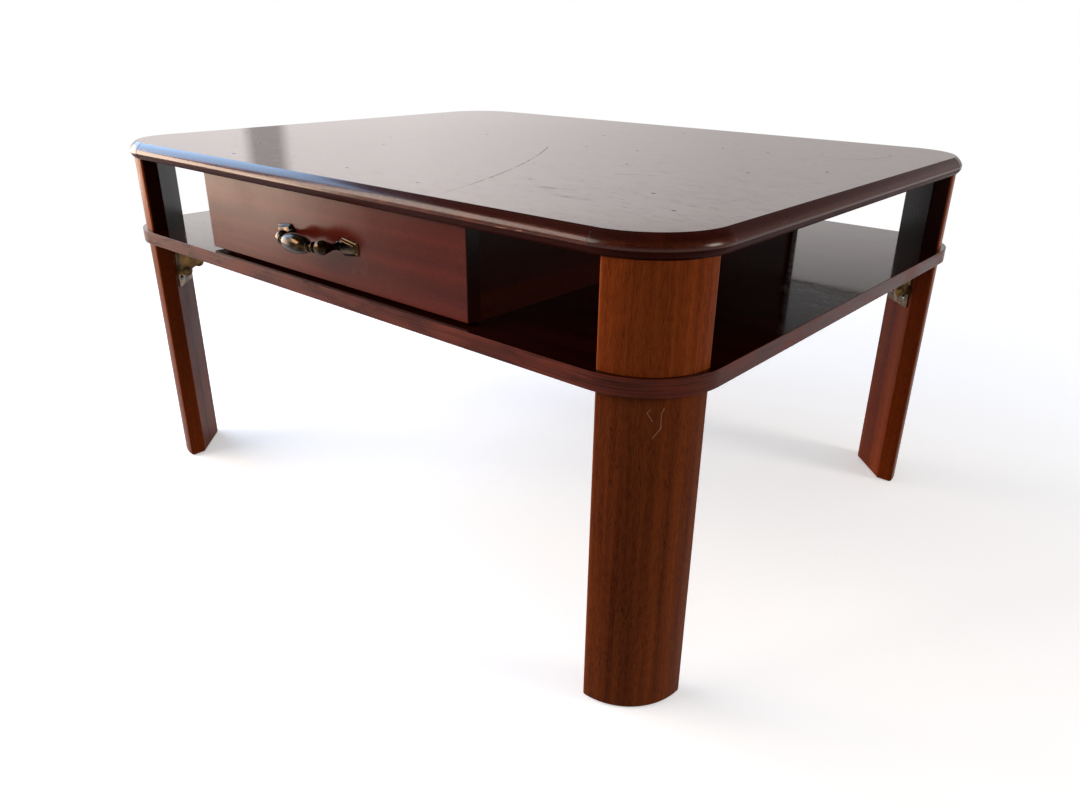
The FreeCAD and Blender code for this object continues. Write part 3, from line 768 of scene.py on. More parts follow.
@dataclass(frozen=True)
class AgedMetal(Finish):
    """Metal that has been handled: bright where it is rubbed, dull and darker where it tarnished.

    It gives the eye a coloured reflection that is broken by soft dull spots of tarnish.
    """

    bright: str
    tarnish: str
    roughness: float
    tarnish_roughness: float
    spot_width: float
    tarnish_share: float = 0.5      # 0 is none, 1 is all over
    spot_softness: float = 0.08
    grit_width: float = 0.0007
    grit_roughness: Span = (-0.03, 0.04)
    bump: Span = (0.08, 0.0001)

    def draw(self, paint: Paint) -> None:
        """Draws the spots of tarnish and the fine grit."""
        spots = paint.figured(EVEN, self.spot_width, detail=4.0, distortion=0.6)
        grit = paint.figured(EVEN, self.grit_width, detail=2.0)
        middle = NOISE[1] + self.tarnish_share * (NOISE[0] - NOISE[1])
        dull = paint.ranged(spots, middle - self.spot_softness, middle + self.spot_softness)
        sheen = paint.math("ADD", paint.ranged(dull, 0.0, 1.0, self.roughness, self.tarnish_roughness),
                           paint.ranged(grit, *NOISE, *self.grit_roughness))
        paint.surface(paint.mixed(dull, linear(self.bright), linear(self.tarnish)), sheen, grit, self.bump,
                      {"Metallic": 1.0})


MOULDED = {"pore_depth": 0.35, "bump": 0.05}
SATIN_UPRIGHT = {"ribbon_width": 0.012, "pore_width": 0.0008, "pore_length": 0.007, "bump": 0.08,
                 "gloss": 0.03}
FINISHES: dict[str, Finish] = {
    "top": Mahogany("polished_mahogany_top", Grain.ALONG, "2c0a04", "4a180c", 0.06, 0.012, gloss=0.5,
                    bump=0.2, cloud_bump=0.9, pore_width=0.001, pore_length=0.014, pore_roughness=0.1,
                    wear=TopWear()),
    "lip_along": Mahogany("moulded_mahogany_along", Grain.ALONG, "240702", "461507", 0.16, gloss=0.27,
                          worn="6c3117", scratches=LIP_CHIPS, **MOULDED),
    "lip_across": Mahogany("moulded_mahogany_across", Grain.ACROSS, "300d08", "4a1c12", 0.28, gloss=0.2,
                           worn="4e2418", **MOULDED),
    "lip_corner": Mahogany("moulded_mahogany_corner", Grain.ALONG, "220602", "421306", 0.21, gloss=0.25,
                           worn="56240f", **MOULDED),
    "lip_under": Mahogany("moulded_mahogany_underside", Grain.ALONG, "200602", "401206", 0.4, gloss=0.03,
                          bump=0.05),
    "shelf": Mahogany("polished_mahogany_shelf", Grain.ALONG, "130200", "280803", 0.07, gloss=0.35,
                      cloud_bump=0.5),
    "edge": StainedEdgeVeneer("stained_edge_veneer"),
    "leg": Mahogany("satin_mahogany_leg", Grain.UPRIGHT, "461a0b", "8a441e", 0.32, 0.04, pore_depth=0.75,
                    scratches=LEG_SCRATCHES, **SATIN_UPRIGHT),
    "post": Mahogany("satin_mahogany_post", Grain.UPRIGHT, "5b200c", "9d4c1e", 0.32, 0.04, pore_depth=0.7,
                     **SATIN_UPRIGHT),
    # its end faces take the darker end grain colour, partly stain and partly painted shade
    "front": Mahogany("satin_mahogany_front", Grain.ALONG, "420c05", "64200f", 0.24, 0.04, gloss=0.1,
                      pore_depth=0.3, bump=0.03, end_grain=0.244),
    "case": Mahogany("satin_mahogany_case", Grain.ACROSS, "260a05", "421609", 0.3, 0.04),
    "case_cross": Mahogany("satin_mahogany_divider", Grain.ALONG, "260a05", "421609", 0.4, 0.04),
    # lighter copy of the leg finish on the faces that look to the middle: painted light of the low light from
    # the left
    "leg_back": Mahogany("satin_mahogany_leg_inner_painted_light", Grain.UPRIGHT, "5c1e09", "a04819", 0.34, 0.04,
                         pore_depth=0.5, gloss=0.03),
    # darker copy of the post finish on the faces that look to the middle: painted shade of the dim space
    # under the top
    "post_back": Mahogany("satin_mahogany_post_inner_painted_shade", Grain.UPRIGHT, "260905", "481a0c", 0.3, 0.04,
                          pore_depth=0.5),
    "drawer": PlainTimber("planed_meranti_side", Grain.ACROSS, "8a5a3c", "6b4029"),
    "drawer_cross": PlainTimber("planed_meranti_back", Grain.ALONG, "8a5a3c", "6b4029"),
    "beech": PlainTimber("planed_beech_strip", Grain.ACROSS, "c49a6a", "a87c50", 0.55),
    "beech_upright": PlainTimber("planed_beech_dowel", Grain.UPRIGHT, "c49a6a", "a87c50", 0.55),
    "hardboard": PressedHardboard("pressed_hardboard"),
    "bracket": AgedMetal("brass_plated_sheet", "6e5432", "403220", 0.36, 0.44, 0.02, 0.5),
    "handle": AgedMetal("antiqued_cast_brass", "523f2a", "1e160e", 0.12, 0.25, 0.02, 0.55),
    "steel": AgedMetal("zinc_plated_steel", "76716a", "3c3834", 0.18, 0.4, 0.003, 0.45),
}


# --- table top and shelf


@dataclass
class TopLipping:
    """Moulded lipping round the top: two sides, two ends and four corner blocks, glued end to end."""

    corner_radius: float = 0.090
    width: float = 0.028
    flat_inset: float = 0.010
    band_run: float = 0.0065
    band_fall: float = 0.0055
    band_crown: float = 0.0004
    nose_height: float = 0.0095
    foot_inset: float = 0.005
    dull_below: float = 0.0008      # distance under its widest line where the polish ends
    arris: float = 0.0006
    joint_depth: float = 0.00018    # glue line, worn open
    joint_width: float = 0.0004
    joint_reach: float = 0.0001     # how far the open joint runs onto the flat
    band_steps: int = 6
    arris_steps: int = 4
    arc_steps: int = 14
    corner_steps: int = 48

    def section(self) -> tuple[Array, Array, Array]:
        """Outline of the lipping, as distance inwards from its outermost edge and height.

        From its widest line the nose runs down to the foot as an arc, and up as a curve
        (1 - t)^2 a + 2 t (1 - t) b + t^2 c that meets the sloping band without a crease. The band is
        worn to a low crown, a parabola over its chord: height = 4 crown t (1 - t).

        Returns:
            The outline counter-clockwise seen with outwards to the right, 1 where a point is on the
            moulded part, and the finish number of the face after each point.
        """
        widest, run, fall = TOP_BOTTOM + self.nose_height, self.band_run, self.band_fall
        slope = math.hypot(run, fall)
        radius = (self.foot_inset ** 2 + self.nose_height ** 2) / (2 * self.foot_inset)
        angle = np.linspace(math.atan2(-self.nose_height, radius - self.foot_inset), 0.0, self.arc_steps + 1)
        lower = np.stack([radius * (np.cos(angle) - 1), widest + radius * np.sin(angle)], axis=1)
        band_top = np.array([-self.flat_inset, TOP_SURFACE])
        band_end = band_top + [run, -fall]
        lean = math.atan2(run, fall) - math.atan2(4 * self.band_crown, slope)
        pull = np.array([0.0, band_end[1] + band_end[0] / math.tan(lean)])
        t = np.linspace(0, 1, self.arc_steps + 1)[:, None]
        upper = (1 - t) ** 2 * [0.0, widest] + 2 * t * (1 - t) * pull + t ** 2 * band_end
        t = np.linspace(0, 1, self.band_steps + 1)[1:-1, None]
        square = np.array([fall, run]) / slope
        band = band_end + t * (band_top - band_end) + 4 * self.band_crown * t * (1 - t) * square
        corners = np.vstack([[[-self.width, TOP_BOTTOM]], lower, upper[1:], band,
                             [band_top, [-self.width, TOP_SURFACE]]])
        radii = np.zeros(len(corners))
        radii[1] = radii[-2] = self.arris
        outline = softened(corners, radii, self.arris_steps)
        moulded = outline[:, 0] > -self.flat_inset - self.joint_reach
        flat, under = outline[:, 1] > TOP_SURFACE - LEVEL, outline[:, 1] < widest - self.dull_below
        return outline, moulded, (flat & np.roll(flat, -1)) + 2 * (under & np.roll(under, -1))

    def sections(self, length: float, steps: int) -> tuple[Array, Array, Array]:
        """The outline at stations along a piece, drawn in at both its ends by the open glue line.

        Args:
            length: Length of the piece.
            steps: Steps along it.

        Returns:
            The share of the length at each station, the outlines, and the finish number of each face.
        """
        near = self.joint_width / length
        shares = np.concatenate([[0.0, near], np.linspace(0, 1, steps + 1)[1:-1], [1 - near, 1.0]])
        depths = np.where((shares == 0) | (shares == 1), self.joint_depth, 0.0)
        outline, moulded, finishes = self.section()
        return shares, np.stack([inset(outline, moulded * depth) for depth in depths]), finishes

    def straight(self, half_across: float, half_table: float) -> Skin:
        """Straight lipping on the +X side, between the corner blocks.

        Args:
            half_across: Its distance from the middle of the table.
            half_table: Half the table's size along it.

        Returns:
            The skin of the lipping.
        """
        half = half_table - self.corner_radius
        shares, sections, finishes = self.sections(2 * half, 2)
        y = np.broadcast_to(((shares * 2 - 1) * half)[:, None], sections.shape[:2])
        rings = np.stack([half_across + sections[..., 0], y, sections[..., 1]], axis=-1)
        return loft(rings, finishes=finishes)

    def block(self, corner: Corner) -> Skin:
        """Corner block: the outline turned a quarter about the corner's centre.

        Args:
            corner: Corner of the table.

        Returns:
            The skin of the block in its place.
        """
        shares, sections, finishes = self.sections(self.corner_radius * math.pi / 2, self.corner_steps)
        angle = (shares * math.pi / 2)[:, None]
        radius = self.corner_radius + sections[..., 0]
        rings = np.stack([radius * np.cos(angle), radius * np.sin(angle), sections[..., 1]], axis=-1)
        return loft(corner.placed(rings, 180.0, self.corner_radius), finishes=finishes)

    def build(self, finishes: dict[str, Material]) -> None:
        """Makes the three groups of lipping, with the top's polish on their flat part."""
        side, end = self.straight(HALF_WIDTH, HALF_LENGTH), self.straight(HALF_LENGTH, HALF_WIDTH)
        groups = {"sides": ("lip_along", [side.on(turned(side.points, turn)) for turn in (90, -90)]),
                  "ends": ("lip_across", [end.on(turned(end.points, turn)) for turn in (0, 180)]),
                  "corners": ("lip_corner", [self.block(corner) for corner in Corner])}
        for group, (finish, skins) in groups.items():
            materials = [finishes[finish], finishes["top"], finishes["lip_under"]]
            finished_piece("lipping_" + group, skins, materials, "table", "lip_gloss", "top_lip_" + group)


@dataclass
class ShelfBand:
    """Veneer band round the edge of the shelf, with its outer arrises rubbed soft."""

    corner_radius: float = 0.086
    thickness: float = 0.0008
    arris: float = 0.0005
    arris_steps: int = 4
    corner_steps: int = 40

    def path(self) -> tuple[Array, Array]:
        """Rounded rectangle in plan: each corner is a quarter circle about its own centre.

        Returns:
            Its points counter-clockwise, and the way outwards at each.
        """
        quarter = np.linspace(0.0, math.pi / 2, self.corner_steps + 1)
        angle = (quarter[None, :] + np.arange(4)[:, None] * math.pi / 2).reshape(-1)
        out = np.stack([np.cos(angle), np.sin(angle)], axis=1)
        signs = np.repeat([[1, 1], [-1, 1], [-1, -1], [1, -1]], self.corner_steps + 1, axis=0)
        centres = signs * (np.array([HALF_LENGTH, HALF_WIDTH]) - self.corner_radius)
        return centres + out * self.corner_radius, out

    def build(self, finishes: dict[str, Material]) -> None:
        """Makes the band: a thin upright strip carried round the path."""
        strip = np.array([[-self.thickness, SHELF_BOTTOM], [0.0, SHELF_BOTTOM], [0.0, SHELF_TOP],
                          [-self.thickness, SHELF_TOP]])
        outline = softened(strip, np.array([0.0, self.arris, self.arris, 0.0]), self.arris_steps)
        points, out = self.path()
        plan = points[:, None] + out[:, None] * outline[None, :, :1]
        level = np.broadcast_to(outline[None, :, 1:], (len(points), len(outline), 1))
        band = loft(np.concatenate([plan, level], axis=-1), joined=True)
        finished_piece("shelf_band", [band], [finishes["edge"]], "table", "edge_band", "shelf_edge_band")


# --- legs and posts


LEG_MARGIN = 0.008      # distance of the legs' outer corner from both edges of the shelf
DIAGONAL = 45.0         # turn that makes the X axis of a corner run to the middle of the table


@dataclass
class CornerTimber:
    """Legs and posts: one section with two short flats, a broad round nose and two end faces."""

    span: float = 0.074
    flat_length: float = 0.0036
    nose_radius: float = 0.0704
    end_thickness: float = 0.022
    arris: float = 0.0032
    foot_round: float = 0.0040
    arris_steps: int = 6
    nose_steps: int = 28
    foot_turns: tuple[float, ...] = (0.0, 20.0, 42.0, 66.0, 90.0)

    def outline(self) -> Array:
        """Section seen from above, from the corner where the flats would meet.

        The nose is an arc whose centre is the same distance in from both flats, so that it starts
        where each flat ends: (start + sqrt(2 radius^2 - start^2)) / 2. It turns off the flats by
        the angle whose sine is (centre - start) / radius.

        Returns:
            Its points counter-clockwise.
        """
        start = self.span - self.flat_length
        centre = (start + math.sqrt(2 * self.nose_radius ** 2 - start ** 2)) / 2
        turn = math.asin((centre - start) / self.nose_radius)
        angle = np.linspace(turn - math.pi, -math.pi / 2 - turn, self.nose_steps + 1)
        nose = centre + self.nose_radius * np.stack([np.cos(angle), np.sin(angle)], axis=1)
        wings = [[self.span, 0.0], [self.span, self.end_thickness],
                 [self.end_thickness, self.span], [0.0, self.span]]
        radii = np.append(np.zeros(len(nose)), [self.arris] * len(wings))
        return softened(np.vstack([nose, wings]), radii, self.arris_steps)

    def stick(self, heights: Array, depths: Array, corner: Corner) -> Skin:
        """Stands the section up, with finish 1 on the faces that look to the middle, a copy of the wood
        painted lighter on the legs and darker on the posts for light and shade.

        Args:
            heights: Height of each station.
            depths: How far the section is drawn in at each.
            corner: Corner of the table.

        Returns:
            The skin of the stick in its place.
        """
        outline = self.outline()
        sections = np.stack([inset(outline, depth) for depth in depths])
        z = np.broadcast_to(heights[:, None, None], (*sections.shape[:2], 1))
        rings = turned(np.concatenate([sections, z], axis=-1), -DIAGONAL)
        # faces that look to the middle get finish 1: painted light on the legs, painted shade on the posts
        behind = outline.sum(axis=1) > self.span + self.arris / 2
        numbers = (behind | np.roll(behind, -1)).astype(int)
        return loft(corner.placed(rings, DIAGONAL, LEG_MARGIN), finishes=numbers)

    def build(self, finishes: dict[str, Material]) -> None:
        """Makes the four posts and the four legs, whose feet are rounded over."""
        swing = np.radians(self.foot_turns)
        leg_heights = np.append(self.foot_round * (1 - np.cos(swing)), SHELF_BOTTOM)
        leg_depths = np.append(self.foot_round * (1 - np.sin(swing)), 0.0)
        for corner in Corner:
            # the posts' faces that look to the middle take a darker copy of the wood: painted shade
            post = self.stick(np.array([SHELF_TOP, TOP_BOTTOM]), np.zeros(2), corner)
            finished_piece("corner_post_" + corner.label, [post], [finishes["post"], finishes["post_back"]],
                           "table", "leg_wood", "post_" + corner.label)
            # the legs' faces that look to the middle take a lighter copy of the wood: painted light
            leg = self.stick(leg_heights, leg_depths, corner)
            finished_piece("folding_leg_" + corner.label, [leg], [finishes["leg"], finishes["leg_back"]],
                           "leg_body_" + corner.label, "leg_wood", "leg_" + corner.label)


# --- handles


@dataclass
class BowHandle:
    """Cast bow handle: two stepped feet, a bow turned into vases and beads, and an egg-shaped grip."""

    length: float = 0.153
    shift: float = -0.0022
    height: float = 0.421
    front_face: float = 0.375
    foot_length: float = 0.0345
    foot_height: float = 0.0216
    foot_shoulder: float = 0.0087
    foot_tip_height: float = 0.008
    foot_end_height: float = 0.015
    foot_corner: float = 0.0018
    foot_top: float = 0.0045
    bow_sunk: float = 0.0004        # how far the bow's end is in the foot
    neck_spacing: float = 0.090
    bow_radius: float = 0.024
    grip_length: float = 0.052
    grip_radius: float = 0.0114
    egg: tuple[Span, ...] = ((0.6, 0.81), (0.3, 0.953))     # place and radius, as shares of the grip's
    around: int = 40
    smooth: float = 50.0
    # rise and inset of each step of a foot: upright edge, bevel, sunk line, raised field, crown
    foot_steps: tuple[Span, ...] = (
        (0.0, 0.0), (0.0010, 0.0), (0.0019, 0.0009), (0.0024, 0.0016), (0.0021, 0.0021),
        (0.0024, 0.0026), (0.0038, 0.0031), (0.0044, 0.0040), (0.0045, 0.0048))
    # degrees round the bend of the bow, and its radius there in millimetres: neck, vase, groove, bead
    bow_turning: tuple[Span, ...] = (
        (0, 5.6), (2.5, 4.7), (7, 4.05), (14, 3.95), (20, 4.3), (28, 5.9), (36, 7.7), (43, 8.4), (50, 8.0),
        (56, 6.9), (59.5, 6.0), (60.8, 5.5), (61.6, 4.4), (63.4, 4.2), (64.6, 4.6), (65.4, 5.6), (67, 6.15),
        (69.4, 6.2), (71.4, 5.9), (72.6, 5.0), (73.4, 4.3), (76, 4.3), (80, 4.3))
    # distance from the grip's end and radius of its turned ring
    ring_turning: tuple[Span, ...] = ((0.0, 0.0042), (0.0005, 0.0054), (0.0015, 0.0060), (0.0024, 0.0053),
                                      (0.0032, 0.0058))

    def foot(self) -> Skin:
        """Foot: a six-cornered plate drawn in step by step as it rises from the drawer front.

        Returns:
            Skin with its seat on the XZ plane, rising along Y, its blunt inner end towards -X.
        """
        outlines = np.stack([self.foot_outline(drawn_in) for _, drawn_in in self.foot_steps])
        rise = np.broadcast_to([[step] for step, _ in self.foot_steps], outlines.shape[:2])
        return loft(np.stack([outlines[..., 0], rise, outlines[..., 1]], axis=-1))

    def foot_outline(self, drawn_in: float) -> Array:
        """Outline of the foot: blunt inner end, shoulders, and sides that close in to the outer end.

        Args:
            drawn_in: How far every side has come in.

        Returns:
            Points counter-clockwise.
        """
        half = self.foot_length / 2
        upper = np.array([[half - drawn_in, self.foot_end_height / 2 - drawn_in],
                          [self.foot_shoulder - half, self.foot_height / 2 - drawn_in],
                          [drawn_in - half, (self.foot_tip_height - drawn_in) / 2]])
        return softened(np.vstack([upper, upper[::-1] * [1, -1]]), np.full(6, self.foot_corner), steps=5)

    def bow(self) -> Skin:
        """Bow on the +X side: a round bar carried along a bend from the foot to the grip.

        Its middle runs at (centre + R cos a, top + R sin a), square to the foot at its start. Its
        thickness follows the turned neck, vase, groove and bead.

        Returns:
            Skin in the handle's plan: X along, Y outwards, Z up.
        """
        profile = flowing(self.bow_turning, steps=4)
        angle, radius = np.radians(profile[:, :1]), profile[:, 1:] / 1000
        around = np.linspace(0.0, 2 * math.pi, self.around, endpoint=False)[None, :]
        reach = self.bow_radius + radius * np.cos(around)
        centre = self.neck_spacing / 2 - self.bow_radius
        start = self.foot_top - self.bow_sunk
        return loft(np.stack([centre + reach * np.cos(angle), start + reach * np.sin(angle),
                              radius * np.sin(around)], axis=-1))

    def grip(self) -> Skin:
        """Egg-shaped grip between two turned rings, along X at its distance from the front."""
        h, r = self.grip_length / 2, self.grip_radius
        side = [(x - h, ring) for x, ring in self.ring_turning]
        side += [(-h * out, r * wide) for out, wide in self.egg]
        profile = side + [(0.0, r)] + [(-x, radius) for x, radius in side[::-1]]
        return lathe(flowing(profile, steps=6), self.around).laid((0.0, self.foot_top + self.bow_radius, 0.0),
                                                            (1.0, 0.0, 0.0))

    def build(self, finishes: dict[str, Material]) -> None:
        """Makes the two handles; the left half is the right one mirrored."""
        foot = self.foot()
        right = [foot.on(foot.points + [(self.length - self.foot_length) / 2, 0.0, 0.0]), self.bow()]
        left = [skin.on(skin.points * [-1, 1, 1]) for skin in right]
        place = [self.shift, -self.front_face, self.height]
        for end in DrawerEnd:
            skins = [skin.on(turned(skin.points * [1, -1, 1] + place, end.value))
                     for skin in (*right, *left, self.grip())]
            finished_piece("bow_handle_" + end.label, skins, [finishes["handle"]], end.label + "_drawer",
                           "handle_brass", end.label + "_handle", smooth=self.smooth)


# --- folding brackets


@dataclass
class BracketMetalwork:
    """Screws and pins of the four folding brackets, in the corner frame of the leg."""

    leg_face: float = 0.096 / math.sqrt(2)
    sheet: float = 0.002
    bracket_half: float = 0.029
    pivot_out: float = 0.015
    pivot_height: float = 0.305
    pin_radius: float = 0.003
    pin_head_radius: float = 0.0052
    pin_head_height: float = 0.0016
    flange_length: float = 0.075
    cheek_radius: float = 0.008
    flange_screw_margin: float = 0.014
    flange_screw_half: float = 0.016
    # height of each row of plate screws, and half their distance
    plate_rows: tuple[Span, ...] = ((0.291, 0.017), (0.325, 0.012))
    # degrees that the slots of each row are turned
    plate_slots: tuple[Span, ...] = ((-15.0, 65.0), (55.0, 135.0))
    flange_slots: tuple[Span, ...] = ((-20.0, 40.0), (30.0, 90.0))
    screw_radius: float = 0.002
    screw_length: float = 0.015
    # distance from the tip and radius, both in radii; height and radius, both as shares
    screw_point: tuple[Span, ...] = ((3.0, 0.92), (1.0, 0.5), (0.0, 0.05))
    pin_dome: tuple[Span, ...] = ((0.0, 1.0), (0.35, 0.97), (0.7, 0.8), (0.93, 0.5), (1.0, 0.12))
    head_radius: float = 0.0044
    head_height: float = 0.0026
    dome_power: float = 2.6
    slot_width: float = 0.0011
    slot_depth: float = 0.0013
    slot_flare: float = 1.04        # width of the slot at its mouth over that at its floor
    slot_floor: float = 0.00015     # what is left under the ends of the slot
    rim: float = 0.9999             # share of the radius where the seat begins
    head_rows: int = 9              # on either side of the slot
    row_steps: int = 20
    pin_sides: int = 32
    shank_sides: int = 16

    def head(self) -> Skin:
        """Domed and slotted screw head, made in rows that run along its slot.

        A row at v across the head runs from -sqrt(1 - v^2) to +sqrt(1 - v^2). Its height is that of
        the dome, h (1 - r^2.6), less the slot's depth in the middle rows, and nowhere below the
        slot's floor.

        Returns:
            Closed skin with its seat on the YZ plane and its dome towards -X.
        """
        half_slot = self.slot_width / 2 / self.head_radius
        slot_side = [half_slot, half_slot * self.slot_flare]
        side = np.append(slot_side, np.sin(np.linspace(0.1, 1, self.head_rows) * math.pi / 2))
        across = np.concatenate([-side[::-1], [0.0], side])
        along = np.sin(np.linspace(-1, 1, self.row_steps + 1) * math.pi / 2)
        v, u = np.meshgrid(across, along, indexing="ij")
        u = u * np.sqrt(1 - v ** 2)
        r = np.hypot(u, v)
        cut = self.head_height * (1 - r ** self.dome_power) - self.slot_depth * (np.abs(v) <= half_slot)
        rise = np.where(r < self.rim, np.maximum(cut, self.slot_floor), 0.0)
        top = np.stack([-rise, v * self.head_radius, u * self.head_radius], axis=-1)
        seat = (top * [0, 1, 1])[:, -2:0:-1]
        return loft(np.concatenate([top, seat], axis=1))

    def screw(self, place: Point, inwards: Point, turn: float) -> list[Skin]:
        """Screw with its head on a plate.

        Args:
            place: Middle of the head's seat.
            inwards: Direction of the shank.
            turn: Degrees that the slot is turned.

        Returns:
            Skins of head and shank.
        """
        head, a, r, l = self.head(), math.radians(turn), self.screw_radius, self.screw_length
        x, y, z = head.points.T
        spun = np.stack([x, y * math.cos(a) - z * math.sin(a), y * math.sin(a) + z * math.cos(a)], axis=1)
        profile = np.array([[0.0, r]] + [[l - r * back, r * wide] for back, wide in self.screw_point])
        return [skin.laid(place, inwards) for skin in (head.on(spun), lathe(profile, self.shank_sides))]

    def pin(self) -> list[Skin]:
        """Rivet pin across the cheeks, with a low domed head outside each."""
        half, r, h = self.bracket_half, self.pin_head_radius, self.pin_head_height
        dome = [(half + h * up, r * wide) for up, wide in self.pin_dome]
        shaft = [(-half, self.pin_radius), (half, self.pin_radius)]
        profile = np.array([(-x, radius) for x, radius in dome[::-1]] + shaft + dome)
        middle = self.leg_face + self.pivot_out, 0.0, self.pivot_height
        return [lathe(profile, self.pin_sides).laid(middle, (0.0, 1.0, 0.0))]

    def build(self, finishes: dict[str, Material]) -> None:
        """Makes the pins, the screws of the leg plates and the screws of the flanges."""
        face, level = self.leg_face + self.sheet, SHELF_BOTTOM - self.sheet
        start = self.leg_face + self.pivot_out - self.cheek_radius
        flange_rows = start + self.flange_screw_margin, start + self.flange_length - self.flange_screw_margin
        plate_screws: list[Skin] = []
        flange_screws: list[Skin] = []
        for (height, half), turns in zip(self.plate_rows, self.plate_slots):
            for sign, turn in zip((-1, 1), turns):
                plate_screws += self.screw((face, sign * half, height), (-1.0, 0.0, 0.0), turn)
        for x, turns in zip(flange_rows, self.flange_slots):
            for sign, turn in zip((-1, 1), turns):
                flange_screws += self.screw((x, sign * self.flange_screw_half, level), UP, turn)
        under_shelf: list[Skin] = []
        brass, steel = [finishes["bracket"]], [finishes["steel"]]
        for corner in Corner:
            pins, screws, flange = (
                [skin.on(corner.placed(skin.points, DIAGONAL, LEG_MARGIN)) for skin in group]
                for group in (self.pin(), plate_screws, flange_screws))
            finished_piece("rivet_pin_" + corner.label, pins, brass, "table", "bracket_brass",
                           "hinge_pin_" + corner.label)
            finished_piece("plate_screws_" + corner.label, screws, steel, "leg_body_" + corner.label,
                           "screw_steel", "leg_bracket_screws_" + corner.label)
            under_shelf += flange
        finished_piece("flange_screws", under_shelf, steel, "table", "screw_steel", "hinge_base_screws")


# --- kept nodes


def dress_nodes(nodes: dict[str, bpy.types.Object], finishes: dict[str, Material]) -> None:
    """Gives every node that keeps its own mesh its finish.

    Args:
        nodes: Nodes of the frame by name.
        finishes: Materials of the table by name.
    """
    chosen = {"top_panel": "top", "shelf_panel": "shelf", "case_side_left": "case", "case_side_right": "case",
              "case_divider": "case_cross", "drawer_runners": "beech", "drawer_kickers": "beech",
              "post_dowels": "beech_upright", "case_dowels": "beech_upright"}
    drawer_parts = {"drawer_face": "front", "drawer_side_left": "drawer", "drawer_side_right": "drawer",
                    "drawer_back": "drawer_cross", "drawer_bottom": "hardboard", "handle_screws": "steel"}
    for corner in Corner:
        chosen |= {part + corner.label: "bracket" for part in ("hinge_base_", "leg_bracket_")}
    for end in DrawerEnd:
        chosen |= {f"{end.label}_{part}": finish for part, finish in drawer_parts.items()}
    for name, finish in chosen.items():
        for slot in nodes[name].material_slots:
            slot.material = finishes[finish]
    log.info("%d kept nodes dressed", len(chosen))


# --- studio


@dataclass(frozen=True)
class Lamp:
    """Soft panel lamp: its middle, the point that it faces, its width and height, power and colour."""

    name: str
    place: Point
    aim: Point
    size: Span
    watts: float
    colour: str

    def build(self) -> None:
        """Adds the lamp, upright and hidden from the camera."""
        data = bpy.data.lights.new(self.name, "AREA")
        data.shape, data.size, data.size_y = "RECTANGLE", *self.size
        data.energy, data.color = self.watts, linear(self.colour)[:3]
        back = np.subtract(self.place, self.aim)
        back /= np.linalg.norm(back)
        right = np.cross(UP, back)
        right /= np.linalg.norm(right)
        linked(self.name, data, [right, np.cross(back, right), back], self.place).visible_camera = False


